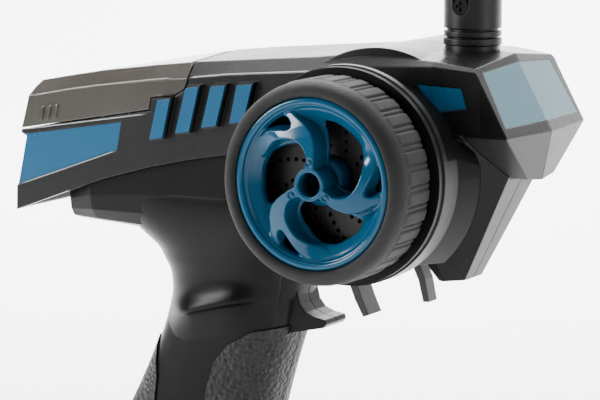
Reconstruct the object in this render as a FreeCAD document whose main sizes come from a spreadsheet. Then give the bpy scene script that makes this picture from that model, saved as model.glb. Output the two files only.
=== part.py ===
"""Pistol-grip radio transmitter for model cars, built as an assembly of separate pieces.

Frame: millimetres, +X towards the nose, +Y to the left, +Z up.  The origin is the centre of the
flat face that the base stands on.  The steering wheel is on the right-hand side, at -Y.
"""
import FreeCAD, Part
import math
import os
import re

import Sketcher
from FreeCAD import Placement, Rotation, Vector

DIMENSIONS = {
    # base and batteries
    "base_length": 104.0,
    "base_width": 80.0,
    "base_height": 38.0,
    "base_corner": 15.0,
    "base_edge": 4.0,
    "base_wall": 2.6,
    "door_width": 62.0,
    "door_thick": 2.0,
    "door_rear": -43.0,
    "cell_radius": 7.1,
    "cell_length": 50.0,
    "cell_pitch": 15.0,
    "cell_low": 9.9,
    "cell_high": 24.7,
    "foot_radius": 3.0,
    "foot_thick": 1.4,
    # mouldings
    "wall": 2.2,
    "head_half": 27.6,
    "lid_wall": 1.7,
    "inlay_deep": 1.0,
    "boss_radius": 3.3,
    "screw_radius": 1.4,
    "screw_head": 2.6,
    # steering
    "axis_x": 66.0,
    "axis_z": 160.0,
    "drum_radius": 34.0,
    "drum_half": 29.0,
    "drum_floor": 135.3,
    "drum_rim": 24.5,
    "drum_rim_radius": 30.5,
    "drum_root": 12.0,
    "drum_split": 84.0,
    "pod_front": 47.0,
    "pod_lip": 30.4,
    "pod_band": 30.9,
    "pod_neck": 26.6,
    "pod_step": 36.8,
    "shaft_radius": 3.0,
    "bush_radius": 5.0,
    "rim_radius": 23.8,
    "rim_front": 64.4,
    "rim_back": 49.0,
    "tyre_radius": 28.5,
    "tyre_front": 65.5,
    "tyre_back": 48.3,
    "disc_radius": 20.6,
    # trigger
    "pivot_x": 52.0,
    "pivot_z": 148.0,
    "pin_radius": 2.0,
    "lever_half": 4.0,
    # lid hinge
    "hinge_z": 184.4,
    "hinge_pin": 0.8,
    # antenna
    "mast_x": 82.7,
    "mast_pivot": 205.0,
    "sleeve_radius": 8.3,
    "tongue_half": 2.9,
    "mast_top": 312.0,
    # running clearance in a bearing, and the gap that pieces which don't fit each other keep
    "running": 0.05,
    "gap": 0.3,
}

doc = FreeCAD.newDocument("PistolGripTransmitter")
sheet = doc.addObject("Spreadsheet::Sheet", "Dimensions")
for row, (alias, value) in enumerate(DIMENSIONS.items(), start=1):
    sheet.set(f"A{row}", alias)
    sheet.set(f"B{row}", str(value))
    sheet.setAlias(f"B{row}", alias)
doc.recompute()

ALIASES = re.compile(r"\b(" + "|".join(DIMENSIONS) + r")\b")
FAR = 400.0
nodes = {}


def size(alias):
    """The value in the sheet's cell of that alias."""
    return float(sheet.get(alias))


def bind(thing, sizes):
    """Drives each property of thing by a formula in the sheet's aliases."""
    for prop, formula in sizes.items():
        thing.setExpression(prop, ALIASES.sub(r"Dimensions.\1", str(formula)))
    return thing


def keep(thing, node):
    """Registers a finished sub-part under its node name."""
    thing.Label = node
    nodes[node] = thing
    return thing


# ---------------------------------------------------------------- primitives bound to the sheet
AXES = {
    "X": Rotation(Vector(0, 0, 1), Vector(1, 0, 0)),
    "Y": Rotation(Vector(0, 0, 1), Vector(0, 1, 0)),
    "Z": Rotation(),
}


def at(x, y, z):
    """Formulas for a placement's base point."""
    return {"Placement.Base.x": x, "Placement.Base.y": y, "Placement.Base.z": z}


def block(name, corner, sides):
    """A Part::Box from its low corner and its three sides."""
    box = doc.addObject("Part::Box", name)
    lengths = dict(zip(("Length", "Width", "Height"), sides))
    return bind(box, {**lengths, **at(*corner)})


def rod(name, base, radius, length, axis="Z"):
    """A Part::Cylinder that starts at base and runs along +axis."""
    cylinder = doc.addObject("Part::Cylinder", name)
    cylinder.Placement = Placement(Vector(), AXES[axis])
    return bind(cylinder, {"Radius": radius, "Height": length, **at(*base)})


def cone(name, base, first, second, length, axis="Z"):
    """A Part::Cone that starts at base and runs along +axis."""
    frustum = doc.addObject("Part::Cone", name)
    frustum.Placement = Placement(Vector(), AXES[axis])
    return bind(frustum, {"Radius1": first, "Radius2": second, "Height": length, **at(*base)})


def fused(name, *things):
    """A union of document objects."""
    union = doc.addObject("Part::MultiFuse", name)
    union.Shapes = list(things)
    return union


def grouped(name, *things):
    """Separate solids kept together in one node."""
    compound = doc.addObject("Part::Compound", name)
    compound.Links = list(things)
    return compound


def cut(name, base, *tools):
    """base with every tool taken away."""
    difference = doc.addObject("Part::Cut", name)
    difference.Base = base
    difference.Tool = tools[0] if len(tools) == 1 else fused(name + "_tools", *tools)
    return difference


def feature(name, shape):
    """A Part::Feature that holds a shape worked out from the sheet."""
    thing = doc.addObject("Part::Feature", name)
    thing.Shape = shape
    return thing


# ---------------------------------------------------------------- sketched bodies
def origin_plane(body, role):
    """One of the body's own origin planes."""
    return next(plane for plane in body.Origin.OriginFeatures if plane.Role == role)


def outline(body, name, role, corners):
    """A closed sketch whose corners are pairs of formulas, each corner fully dimensioned."""
    sketch = body.newObject("Sketcher::SketchObject", name)
    sketch.AttachmentSupport = (origin_plane(body, role), [""])
    sketch.MapMode = "FlatFace"
    count = len(corners)
    start = [
        Vector(50 + 20 * math.cos(2 * math.pi * i / count), 20 * math.sin(2 * math.pi * i / count), 0)
        for i in range(count)
    ]
    for i in range(count):
        sketch.addGeometry(Part.LineSegment(start[i], start[(i + 1) % count]), False)
    for i in range(count):
        sketch.addConstraint(Sketcher.Constraint("Coincident", i, 2, (i + 1) % count, 1))
    for i, pair in enumerate(corners):
        for kind, formula, now in zip(("DistanceX", "DistanceY"), pair, start[i]):
            index = sketch.addConstraint(Sketcher.Constraint(kind, -1, 1, i, 1, now))
            bind(sketch, {f"Constraints[{index}]": formula})
    return sketch


def turned(name, corners, x, y, z, axis):
    """A PartDesign body turned about an axis.

    Each corner of the profile is (radius, distance along the axis); the body is sketched on its
    XZ plane, revolved about its own Z and then placed with that Z along the axis."""
    body = doc.addObject("PartDesign::Body", name)
    profile = outline(body, name + "_profile", "XZ_Plane", corners)
    turn = body.newObject("PartDesign::Revolution", name + "_turn")
    turn.Profile = profile
    turn.ReferenceAxis = (profile, ["V_Axis"])
    turn.Angle = 360
    body.Tip = turn
    body.Placement = Placement(Vector(), AXES[axis])
    return bind(body, at(x, y, z))


# ---------------------------------------------------------------- shapes from sections
def prism_y(points, low=-FAR, high=FAR):
    """An outline in XZ carried along Y."""
    face = Part.Face(Part.makePolygon([Vector(x, low, z) for x, z in points + points[:1]]))
    return face.extrude(Vector(0, high - low, 0))


def prism_x(points, low, high):
    """An outline in YZ carried along X."""
    face = Part.Face(Part.makePolygon([Vector(low, y, z) for y, z in points + points[:1]]))
    return face.extrude(Vector(high - low, 0, 0))


def ruled(sections):
    """A solid of straight rules between closed polygons with equal numbers of corners."""
    wires = [Part.makePolygon(points + points[:1]) for points in sections]
    return Part.makeLoft(wires, True, True)


def cylinder_y(x, z, radius, low, high):
    """A plain cylinder along Y."""
    return Part.makeCylinder(radius, high - low, Vector(x, low, z), Vector(0, 1, 0))


def mirrored(points):
    """Corners on the +Y side, followed by the same corners on the -Y side in return order."""
    return points + [Vector(v.x, -v.y, v.z) for v in reversed(points) if abs(v.y) > 1e-6]


def beyond(point, normal):
    """A large block on the far side of a plane, for trimming."""
    box = Part.makeBox(FAR, FAR, FAR, Vector(-FAR / 2, -FAR / 2, 0))
    box.Placement = Placement(point, Rotation(Vector(0, 0, 1), normal))
    return box


WALL = size("wall")
AXIS_X = size("axis_x")
AXIS_Z = size("axis_z")
LEFT = 1
RIGHT = -1
SIDES = {"right": RIGHT, "left": LEFT}

# Stations along the head: x, bottom edge, crease, shoulder, ridge, half width, chamfer across.
HEAD = [
    (-60.0, 138.1, 172.9, 176.8, 176.8, 27.6, 4.0),
    (-38.6, 146.1, 176.6, 180.9, 180.9, 27.6, 4.0),
    (-27.6, 150.0, 178.4, 182.8, 182.9, 27.6, 4.0),
    (-9.7, 155.1, 180.9, 185.2, 186.2, 27.6, 4.0),
    (4.0, 158.2, 182.4, 186.8, 188.4, 27.6, 4.0),
    (17.4, 160.6, 184.0, 188.0, 189.9, 27.6, 4.0),
    (45.0, 163.0, 186.3, 190.3, 192.2, 27.6, 4.0),
    (60.0, 163.0, 188.6, 192.2, 193.4, 27.6, 3.0),
    (84.0, 163.0, 189.6, 191.0, 193.0, 27.6, 1.6),
    (98.0, 156.0, 188.2, 189.2, 191.6, 25.8, 1.2),
    (112.0, 156.0, 186.2, 187.2, 189.6, 25.8, 1.2),
]
# The rear outline of the head in XZ, bottom to top: tail, ledge, then the lid's back edge.
TAIL = [(-58.4, 130.0), (-58.4, 138.7), (-58.2, 145.8), (-54.7, 161.6), (-56.3, 162.3),
        (-56.0, 164.1), (-53.2, 174.1), (-52.2, 176.6), (-50.5, 178.8), (-46.0, 190.0)]
NOSE_TOP = Vector(96.8, 0, 190.3)
NOSE_CREASE = Vector(107.8, 0, 170.3)
NOSE_FOOT = Vector(105.0, 0, 156.2)
NOSE_SIDE_TOP = Vector(96.0, -25.8, 189.3)
NOSE_SIDE_CREASE = Vector(106.2, -25.8, 170.5)


def nose_planes(side):
    """The label face and the lower face of one side of the nose, as a point and a normal."""
    top = Vector(NOSE_SIDE_TOP.x, NOSE_SIDE_TOP.y * -side, NOSE_SIDE_TOP.z)
    crease = Vector(NOSE_SIDE_CREASE.x, NOSE_SIDE_CREASE.y * -side, NOSE_SIDE_CREASE.z)
    label = (NOSE_CREASE - NOSE_TOP).cross(top - NOSE_TOP)
    lower = (NOSE_FOOT - NOSE_CREASE).cross(crease - NOSE_CREASE)
    faces = []
    for point, normal in ((NOSE_TOP, label), (NOSE_CREASE, lower)):
        normal.normalize()
        faces.append((point, normal if normal.x > 0 else normal * -1))
    return faces


def head_block(inset=0.0):
    """The head as one solid block, or the same block drawn in by a wall's thickness."""
    sections = []
    for x, bottom, crease, shoulder, ridge, half, chamfer in HEAD:
        slack = 0.41 * inset
        sections.append(mirrored([
            Vector(x, 0, ridge - inset),
            Vector(x, min(half - chamfer - slack, half - inset - 0.5), shoulder - inset),
            Vector(x, half - inset, min(crease - slack, shoulder - inset - 0.5)),
            Vector(x, half - inset, bottom),
        ]))
    block_shape = ruled(sections)
    rear = [(x + inset, z) for x, z in TAIL]
    block_shape = block_shape.cut(prism_y(rear + [(-90.0, 190.0), (-90.0, 130.0)]))
    for side in SIDES.values():
        for point, normal in nose_planes(side):
            block_shape = block_shape.cut(beyond(point - normal * inset, normal))
    return block_shape


def under_nose(inset=0.0):
    """What is cut away under both cheeks of the nose, back to the drum."""
    lift = 1.28 * inset
    cheek = [(-40.0, 181.5 + lift), (-8.9, 157.2 + lift), (0.0, 156.2 + inset), (0.0, 140.0), (-40.0, 140.0)]
    other = [(-y, z) for y, z in reversed(cheek)]
    return prism_x(cheek, 88.0 - inset, 130.0).fuse(prism_x(other, 88.0 - inset, 130.0))


SEAM_Z = 163.0
# Top edge of the round boss under the cheek, in XZ, from the seam to the front.
BOSS_TOP = [(-90.0, SEAM_Z), (88.0, SEAM_Z), (88.0, 171.8), (101.0, 162.5), (130.0, 150.0)]
HUMP_HALF = 25.5


def hump(inset=0.0):
    """The crest over the wheel's axis, standing a little above the ridge of the head."""
    crest = cylinder_y(AXIS_X, AXIS_Z, size("drum_radius") - inset, -HUMP_HALF + inset, HUMP_HALF - inset)
    return crest.common(Part.makeBox(FAR, FAR, FAR, Vector(-FAR / 2, -FAR / 2, AXIS_Z + 20.0)))


def drum(inset=0.0):
    """The round boss that carries the wheel pod, on the right side only, with its flat floor.

    In front of the deck it is a disc whose edge slopes in to drum_rim_radius by drum_rim, and
    behind drum_split it reaches in to drum_root."""
    radius, front = size("drum_radius") - inset, inset - size("drum_half")
    behind = Part.makeBox(FAR, FAR, FAR, Vector(size("drum_split") - inset - FAR, -FAR / 2, -FAR / 2))
    root = cylinder_y(AXIS_X, AXIS_Z, radius, front, -size("drum_root")).common(behind)
    if not inset:
        depth = size("drum_half") - size("drum_rim")
        centre = Vector(AXIS_X, front, AXIS_Z)
        root = root.fuse(Part.makeCone(radius, size("drum_rim_radius"), depth, centre, Vector(0, 1, 0)))
    floor = size("drum_floor") + inset
    return root.common(prism_y(BOSS_TOP + [(130.0, floor), (-90.0, floor)]))


head_outer = head_block().cut(under_nose()).fuse(hump()).removeSplitter()
head_inner = head_block(WALL).cut(under_nose(WALL)).fuse(hump(WALL))

# The lid's lower edge in XZ, from its back corner to the top of its front edge.
LID_EDGE = [(-70.0, 161.5), (-56.4, 163.9), (-9.9, 172.3), (-9.3, 176.0), (-0.7, 177.3), (2.4, 179.2),
            (3.5, 181.6), (3.5, 200.0), (-70.0, 200.0)]
# The same edge on the mouldings below, with the gap round the lid.
LID_SEAT = [(-70.0, 161.1), (-56.4, 163.5), (-9.6, 171.9), (-9.0, 175.6), (-0.5, 176.9), (2.8, 178.9),
            (4.1, 181.4), (4.1, 200.0), (-70.0, 200.0)]
# The bulkhead that closes the mouldings in front of the lid.
BULKHEAD = [(-9.3, 168.5), (-9.0, 175.6), (-0.5, 176.9), (2.8, 178.9), (4.1, 181.4), (4.1, 200.0),
            (6.1, 200.0), (6.1, 180.8), (4.2, 177.4), (0.2, 175.0), (-7.2, 173.9), (-7.4, 168.5)]
HINGE_Z = size("hinge_z")
POST_INNER = 19.0
POST_OUTER = 22.0
POST_RADIUS = 1.5
POST_X = (-POST_RADIUS, 0.2)


def hinge_posts():
    """Two posts on the bulkhead that carry the lid's pins."""
    posts = []
    for side in SIDES.values():
        low, high = sorted((side * POST_INNER, side * POST_OUTER))
        post = prism_y([(POST_X[0], 175.0), (POST_X[1], 175.0), (POST_X[1], HINGE_Z), (POST_X[0], HINGE_Z)],
                       low, high)
        post = post.fuse(cylinder_y(0, HINGE_Z, POST_RADIUS, low, high))
        bore = size("hinge_pin") + size("running")
        posts.append(post.cut(cylinder_y(0, HINGE_Z, bore, low - 1, high + 1)))
    return posts


# ---------------------------------------------------------------- inlays of the head
# Corners in XZ of the blue inlays.
PANEL = [(-62.0, 163.2), (-53.9, 162.3), (-19.8, 167.9), (-21.4, 159.4), (-56.4, 146.9), (-62.0, 145.0)]
INSERT = [(78.9, 184.6), (92.4, 183.9), (94.1, 178.3), (85.4, 177.1)]
SLATS = [
    [(-5.3, 176.0), (-0.6, 176.6), (-3.6, 164.0), (-8.5, 163.3)],
    [(4.5, 180.1), (9.3, 180.7), (5.7, 166.4), (0.6, 165.7)],
    [(13.1, 181.1), (18.4, 181.5), (14.9, 168.7), (9.6, 167.9)],
    [(21.9, 181.9), (27.5, 182.4), (24.3, 170.5), (19.2, 169.7)],
]
RIB_PROUD = 1.9
SLAT_THICK = 0.7
SLAT_INSET = 0.5
LABEL = [(-21.7, 188.0), (0.0, 189.3), (21.7, 188.0), (23.6, 173.3), (0.0, 173.3), (-23.6, 173.3)]


def side_strip(points, side, inner, outer):
    """An XZ outline between two distances from the middle plane, on one side."""
    low, high = sorted((side * inner, side * outer))
    return prism_y(points, low, high)


def shrunk(points, margin):
    """An outline drawn in by moving each corner towards the middle."""
    middle_x = sum(x for x, z in points) / len(points)
    middle_z = sum(z for x, z in points) / len(points)
    moved = []
    for x, z in points:
        reach = math.hypot(x - middle_x, z - middle_z)
        factor = (reach - margin) / reach
        moved.append((middle_x + (x - middle_x) * factor, middle_z + (z - middle_z) * factor))
    return moved


HALF = size("head_half")
DEEP = size("inlay_deep")
panel_recess = {}
insert_recess = {}
for word, side in SIDES.items():
    skin = head_outer.cut(head_outer.translated(Vector(DEEP, -side * DEEP, 0)))
    outer_face = head_outer.translated(Vector(0.25, -side * 0.25, 0))
    patch = side_strip(PANEL, side, HALF - 14.0, HALF + 5.0)
    panel_recess[side] = skin.common(patch)
    keep(feature(f"panel_{word}", outer_face.common(panel_recess[side])), f"side_panel_{word}")
    patch = side_strip(INSERT, side, HALF - 8.0, HALF + 0.6)
    insert_recess[side] = skin.common(patch)
    keep(feature(f"insert_{word}", outer_face.common(insert_recess[side])), f"front_insert_{word}")
    faces = [side_strip(shrunk(slat, SLAT_INSET), side, HALF + RIB_PROUD, HALF + RIB_PROUD + SLAT_THICK)
             for slat in SLATS]
    keep(feature(f"slats_{word}", Part.makeCompound(faces)), f"slat_inlays_{word}")

# The name plate lies in a shallow recess of the nose's leaning face; it carries no lettering.
label_shift = Vector(-0.9, 0, -0.5)
label_skin = head_outer.cut(head_outer.translated(label_shift))
label_recess = label_skin.common(prism_x(LABEL, 90.0, 112.0))
keep(feature("label", label_recess.copy()), "nose_label_plate")

# ---------------------------------------------------------------- screws that join the halves
HEAD_SCREWS = [(-47.0, 152.0), (14.0, 168.5), (94.5, 176.0)]
GRIP_SCREWS = [(6.0, 119.0), (-6.0, 82.0), (-16.0, 52.0)]
SCREW_SEAT = 8.0
SCREW_HEAD = 2.0
SCREW_TIP = -9.0
SCREW_RADIUS = size("screw_radius")
SCREW_CAP = size("screw_head")
screw_shapes = []
for x, z in HEAD_SCREWS + GRIP_SCREWS:
    shank = cylinder_y(x, z, SCREW_RADIUS, SCREW_TIP, SCREW_SEAT)
    cap = cylinder_y(x, z, SCREW_CAP, SCREW_SEAT, SCREW_SEAT + SCREW_HEAD)
    socket = Part.makeBox(0.7, SCREW_HEAD, 3.2, Vector(x - 0.35, SCREW_SEAT + 1.0, z - 1.6))
    across = Part.makeBox(3.2, SCREW_HEAD, 0.7, Vector(x - 1.6, SCREW_SEAT + 1.0, z - 0.35))
    screw_shapes.append(shank.fuse(cap).cut(socket.fuse(across)))
keep(feature("screws", Part.makeCompound(screw_shapes)), "housing_screws")


def bosses(places, block_shape):
    """Screw bosses across the moulding, kept inside its outer block."""
    radius = size("boss_radius")
    posts = [cylinder_y(x, z, radius, -FAR / 8, FAR / 8).common(block_shape) for x, z in places]
    return posts


def boss_holes(places):
    """Clearance for the screws: pilot on the right, through hole and counterbore on the left."""
    holes = []
    for x, z in places:
        holes.append(cylinder_y(x, z, SCREW_RADIUS, SCREW_TIP - 2, 0))
        holes.append(cylinder_y(x, z, SCREW_RADIUS + 0.1, 0, SCREW_SEAT))
        holes.append(cylinder_y(x, z, SCREW_CAP + 0.2, SCREW_SEAT, FAR / 8))
    return holes


def half_space(side):
    """Everything on one side of the middle plane."""
    low = 0 if side == LEFT else -FAR
    return Part.makeBox(2 * FAR, FAR, 2 * FAR, Vector(-FAR, low, -FAR))


# ---------------------------------------------------------------- head mouldings
MAST_X = size("mast_x")
COLLAR_RADIUS = 7.85
shell = head_outer.cut(head_inner)
bulk = head_outer.common(prism_y(BULKHEAD))
shell = shell.fuse([bulk] + bosses(HEAD_SCREWS, head_outer)).cut(prism_y(LID_SEAT))
shell = shell.fuse(hinge_posts())
for side in SIDES.values():
    ribs = [side_strip(slat, side, HALF - 0.5, HALF + RIB_PROUD) for slat in SLATS]
    ribs = [rib.cut(prism_y(LID_EDGE)) for rib in ribs]
    shell = shell.fuse(ribs).cut([panel_recess[side], insert_recess[side]])
shell = shell.cut([label_recess] + boss_holes(HEAD_SCREWS))
mast_hole = Part.makeCylinder(COLLAR_RADIUS + 0.1, 30.0, Vector(MAST_X, 0, 180.0))
pod_hole = cylinder_y(AXIS_X, AXIS_Z, 14.0, -FAR / 4, -20.0)
shell = shell.cut([mast_hole, pod_hole])
for word, side in SIDES.items():
    keep(feature(f"head_{word}", shell.common(half_space(side))), f"head_shell_{word}")

# ---------------------------------------------------------------- lid over the controls
lid_inset = size("lid_wall")
lid_block = head_block().common(prism_y(LID_EDGE))
lid_hollow = head_block(lid_inset)
lid_hollow = lid_hollow.common(prism_y([(-70.0, 150.0), (20.0, 150.0), (20.0, 200.0), (-70.0, 200.0)]))
round_front = prism_y([(0.0, HINGE_Z), (10.0, HINGE_Z), (10.0, 200.0), (0.0, 200.0)])
round_front = round_front.cut(cylinder_y(0, HINGE_Z, 3.5, -FAR / 4, FAR / 4))
lid = lid_block.cut([lid_hollow, round_front])
ears = []
for side in SIDES.values():
    low, high = sorted((side * (POST_OUTER + 0.3), side * (POST_OUTER + 2.2)))
    ear = cylinder_y(0, HINGE_Z, 1.9, low, high).fuse(prism_y(
        [(-1.9, HINGE_Z), (1.9, HINGE_Z), (1.9, HINGE_Z + 2.0), (-1.9, HINGE_Z + 2.0)], low, high))
    ears.append(ear.common(lid_block))
    low, high = sorted((side * (POST_INNER - 0.3), side * (POST_OUTER + 0.3)))
    lid = lid.cut(cylinder_y(0, HINGE_Z, POST_RADIUS + 0.2, low, high))
lid = lid.fuse(ears)
pins = []
for side in SIDES.values():
    low, high = sorted((side * (POST_INNER - 0.2), side * (POST_OUTER + 2.2)))
    pins.append(cylinder_y(0, HINGE_Z, size("hinge_pin"), low, high))
# Three thumb ribs moulded on each side of the lid, near its back corner.
for side in SIDES.values():
    for step in range(3):
        x = -49.5 + 2.6 * step
        bar = [(x, 166.6 + 0.5 * step), (x + 1.1, 166.8 + 0.5 * step), (x + 2.0, 170.8 + 0.5 * step),
               (x + 0.9, 170.6 + 0.5 * step)]
        lid = lid.fuse(side_strip(bar, side, HALF - 0.4, HALF + 0.6))
keep(feature("lid", lid.cut(pins)), "rear_lid")
keep(feature("lid_pins", Part.makeCompound(pins)), "lid_hinge_pins")


# ---------------------------------------------------------------- lower mouldings: grip, deck and chin
# Stations along the deck: x, half width, top, half width at the bottom, waist, bottom.
DECK = [
    (-45.2, 18.0, 146.5, 15.5, 142.5, 140.0),
    (-42.4, 22.0, 148.0, 18.0, 142.5, 136.5),
    (-33.0, 25.0, 152.0, 18.0, 144.5, 135.9),
    (-15.0, 25.0, 158.0, 17.0, 146.0, 134.6),
    (28.0, 25.0, 166.0, 18.0, 147.0, 134.6),
    (45.0, 25.0, 168.0, 20.0, 146.0, 136.0),
    (78.0, 25.0, 168.0, 20.0, 146.0, 136.0),
]
# Levels up the chin: z, then (x, half width) of its front edge, its flank's back edge and its rear.
CHIN = [
    (126.0, (83.6, 5.5), (79.0, 10.3), (77.3, 9.5)),
    (134.5, (87.9, 6.6), (78.5, 15.4), (73.2, 14.5)),
    (146.0, (93.6, 8.2), (79.0, 22.0), (66.0, 21.5)),
    (163.0, (102.0, 10.4), (86.0, 27.0), (60.0, 25.0)),
    (171.0, (106.0, 11.4), (92.0, 27.3), (60.0, 25.2)),
]
# Levels up the grip: z, back, front, half width.
GRIP = [
    (32.0, -49.0, 6.0, 18.5),
    (50.0, -42.3, 10.5, 17.2),
    (66.0, -36.0, 14.5, 16.2),
    (82.0, -29.2, 18.8, 15.6),
    (95.0, -22.9, 22.5, 15.3),
    (106.0, -18.4, 26.0, 15.6),
    (115.0, -15.7, 28.4, 16.6),
    (122.0, -15.8, 29.4, 18.0),
    (129.0, -18.8, 31.0, 20.2),
    (136.0, -26.0, 35.0, 22.8),
    (144.0, -35.0, 42.0, 23.6),
]
SQUARENESS = 2.5
SPUR = [(20.0, 119.0), (28.3, 117.5), (29.2, 114.0), (31.2, 111.6), (34.4, 110.4), (37.8, 109.9),
        (38.2, 108.6), (37.1, 107.4), (26.0, 105.0), (18.0, 100.0)]
SPUR_HALF = 6.2


def level_ring(z, back, front, half, inset=0.0):
    """A rounded-oblong spline wire at one level: a superellipse about the middle of the grip."""
    middle = (back + front) / 2
    reach = (front - back) / 2 - inset
    points = []
    for step in range(24):
        turn = 2 * math.pi * step / 24
        across = math.copysign(abs(math.cos(turn)) ** (2 / SQUARENESS), math.cos(turn))
        along = math.copysign(abs(math.sin(turn)) ** (2 / SQUARENESS), math.sin(turn))
        points.append(Vector(middle + reach * across, (half - inset) * along, z))
    curve = Part.BSplineCurve()
    curve.interpolate(points, PeriodicFlag=True)
    return Part.Wire([curve.toShape()])


def grip_block(inset=0.0):
    """The grip, lofted through its levels."""
    return Part.makeLoft([level_ring(*level, inset) for level in GRIP], True, False)


def deck_block(inset=0.0):
    """The deck under the head, from the thumb web to the drum."""
    sections = []
    for place, (x, half, top, foot, waist, bottom) in enumerate(DECK):
        shift = inset if place == 0 else -inset if place == len(DECK) - 1 else 0
        side, base, low = half - inset, foot - inset * 0.7, bottom + inset
        curve = []
        for turn in (0, 30, 60, 90):
            across = base + (side - base) * math.cos(math.radians(turn))
            curve.append(Vector(x + shift, across, waist - (waist - low) * math.sin(math.radians(turn))))
        sections.append(mirrored([Vector(x + shift, side, top)] + curve))
    return ruled(sections)


def chin_block(inset=0.0):
    """The chin in front of the trigger, widening upwards to the drum."""
    sections = []
    for place, (z, front, flank, rear) in enumerate(CHIN):
        lift = inset if place == 0 else 0
        sections.append(mirrored([
            Vector(front[0] - inset, front[1] - inset * 0.6, z + lift),
            Vector(flank[0], flank[1] - inset, z + lift),
            Vector(rear[0] + inset * 0.5, rear[1] - inset, z + lift),
        ]))
    return ruled(sections)


BASE_TOP = size("base_height")
spur = prism_y(SPUR, -SPUR_HALF, SPUR_HALF)
lower_outer = deck_block().fuse([grip_block(), chin_block(), drum(), spur])
lower_inner = deck_block(WALL).fuse([grip_block(WALL), chin_block(WALL), drum(WALL)])
ABOVE_BASE = Part.makeBox(FAR, FAR, FAR, Vector(-FAR / 2, -FAR / 2, BASE_TOP))
lower_outer = lower_outer.common(ABOVE_BASE).cut(head_outer)
FLANGE = 3.0
flange = grip_block().common(Part.makeBox(FAR, FAR, FLANGE, Vector(-FAR / 2, -FAR / 2, BASE_TOP)))
flange = flange.cut(Part.makeBox(16.0, 14.0, FAR, Vector(-24.0, -7.0, 0)))

# ---------------------------------------------------------------- rubber pads let into the grip
PAD_PROUD = 0.5
PAD_DEEP = 1.0
FRONT_PAD = [(31.0, 106.6), (26.8, 107.2), (17.1, 105.5), (9.4, 101.1), (4.5, 95.3), (2.3, 88.0), (0.5, 78.0),
             (-4.0, 62.0), (-5.5, 54.0), (-2.5, 47.0), (4.0, 44.5), (31.0, 44.5)]
PALM_PAD = [(-50.0, 100.0), (-26.0, 100.5), (-19.7, 100.0), (-18.6, 95.4), (-16.9, 88.5), (-17.0, 78.0),
            (-22.0, 62.0), (-26.0, 50.0), (-32.0, 45.0), (-60.0, 45.0)]
pad_ring = grip_block(-PAD_PROUD).cut(grip_block(PAD_DEEP))
pads = {}
for word, side in SIDES.items():
    pads[side] = pad_ring.common(side_strip(FRONT_PAD, side, 0.15, HALF))
    keep(feature(f"pad_{word}", pads[side]), f"grip_pad_{word}")
palm = pad_ring.common(prism_y(PALM_PAD, -HALF, HALF))
keep(feature("palm", palm), "palm_pad")

BAY_HALF = 6.0
grip_places = bosses(GRIP_SCREWS, lower_outer)
shell = lower_outer.cut(lower_inner).fuse([flange.common(lower_outer)] + grip_places)
openings = [prism_y([(36.0, 130.0), (72.4, 130.0), (72.4, 150.0), (36.0, 150.0)], -BAY_HALF, BAY_HALF)]
openings.append(cylinder_y(AXIS_X, AXIS_Z, 14.0, -FAR / 4, -20.0))
flange_screws = [(x, y) for x in (-34.0, -9.0) for y in (-8.5, 8.5)]
openings += [Part.makeCylinder(SCREW_RADIUS, 8.0, Vector(x, y, BASE_TOP - 1)) for x, y in flange_screws]
shell = shell.cut(openings + boss_holes(GRIP_SCREWS))
shell = shell.cut([pads[LEFT], pads[RIGHT], palm])
for word, side in SIDES.items():
    keep(feature(f"grip_{word}", shell.common(half_space(side))), f"grip_shell_{word}")


# ---------------------------------------------------------------- base, door and batteries
def rounded_pad(name, length, width, corner, height, low, edge=None):
    """A padded rectangle with rounded upright corners, and a rounded top edge where asked."""
    body = doc.addObject("PartDesign::Body", name)
    half = (f"{length} / 2", f"{width} / 2")
    corners = [(f"{a} * {half[0]}", f"{b} * {half[1]}") for a, b in ((-1, -1), (1, -1), (1, 1), (-1, 1))]
    pad = body.newObject("PartDesign::Pad", name + "_pad")
    pad.Profile = outline(body, name + "_outline", "XY_Plane", corners)
    bind(pad, {"Length": height})
    bind(body, at("0", "0", low))
    body.Tip = pad
    doc.recompute()
    upright = [
        f"Edge{i + 1}" for i, line in enumerate(pad.Shape.Edges)
        if abs(line.tangentAt(line.FirstParameter).z) > 0.9
    ]
    rounding = body.newObject("PartDesign::Fillet", name + "_corners")
    rounding.Base = (pad, upright)
    bind(rounding, {"Radius": corner})
    body.Tip = rounding
    if edge is None:
        return body
    doc.recompute()
    top = rounding.Shape.BoundBox.ZMax
    rim = [
        f"Edge{i + 1}" for i, line in enumerate(rounding.Shape.Edges)
        if line.BoundBox.ZMin > top - 0.01
    ]
    softening = body.newObject("PartDesign::Fillet", name + "_edge")
    softening.Base = (rounding, rim)
    bind(softening, {"Radius": edge})
    body.Tip = softening
    return body


base_block = rounded_pad("base_block", "base_length", "base_width", "base_corner", "base_height", "0",
                         "base_edge")
inside = "(base_length - 2 * base_wall)", "(base_width - 2 * base_wall)"
floor_z = "(door_thick + 0.4)"
cavity = rounded_pad("base_cavity", *inside, "base_corner - base_wall",
                     f"base_height - base_wall - {floor_z}", floor_z)
mouth = block("door_mouth", ("door_rear - gap", "-door_width / 2 - gap", "-1"),
              ("base_length", "door_width + 2 * gap", f"{floor_z} + 1.5"))
groove = block("door_groove", ("door_rear - gap", "-door_width / 2 - 1.9", "1.0"),
               ("base_length", "door_width + 3.8", "1.2"))
lip_gap = block("lip_gap", ("base_length / 2 - 6", "-door_width / 2 - gap", "-1"),
                ("8", "door_width + 2 * gap", "13.3"))
wire_way = block("wire_way", ("-22", "-5", "30"), ("12", "10", "10"))
FEET = [(x, y) for x in (-32.0, 32.0) for y in (-36.2, 36.2)]
foot_wells = [
    rod(f"foot_well_{i}", (str(x), str(y), "-1"), "foot_radius", "foot_thick + 1")
    for i, (x, y) in enumerate(FEET)
]
base_holes = [
    rod(f"base_hole_{i}", (str(x), str(y), "base_height - base_wall - 1"), "screw_radius + 0.1", "6")
    for i, (x, y) in enumerate(flange_screws)
]
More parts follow.
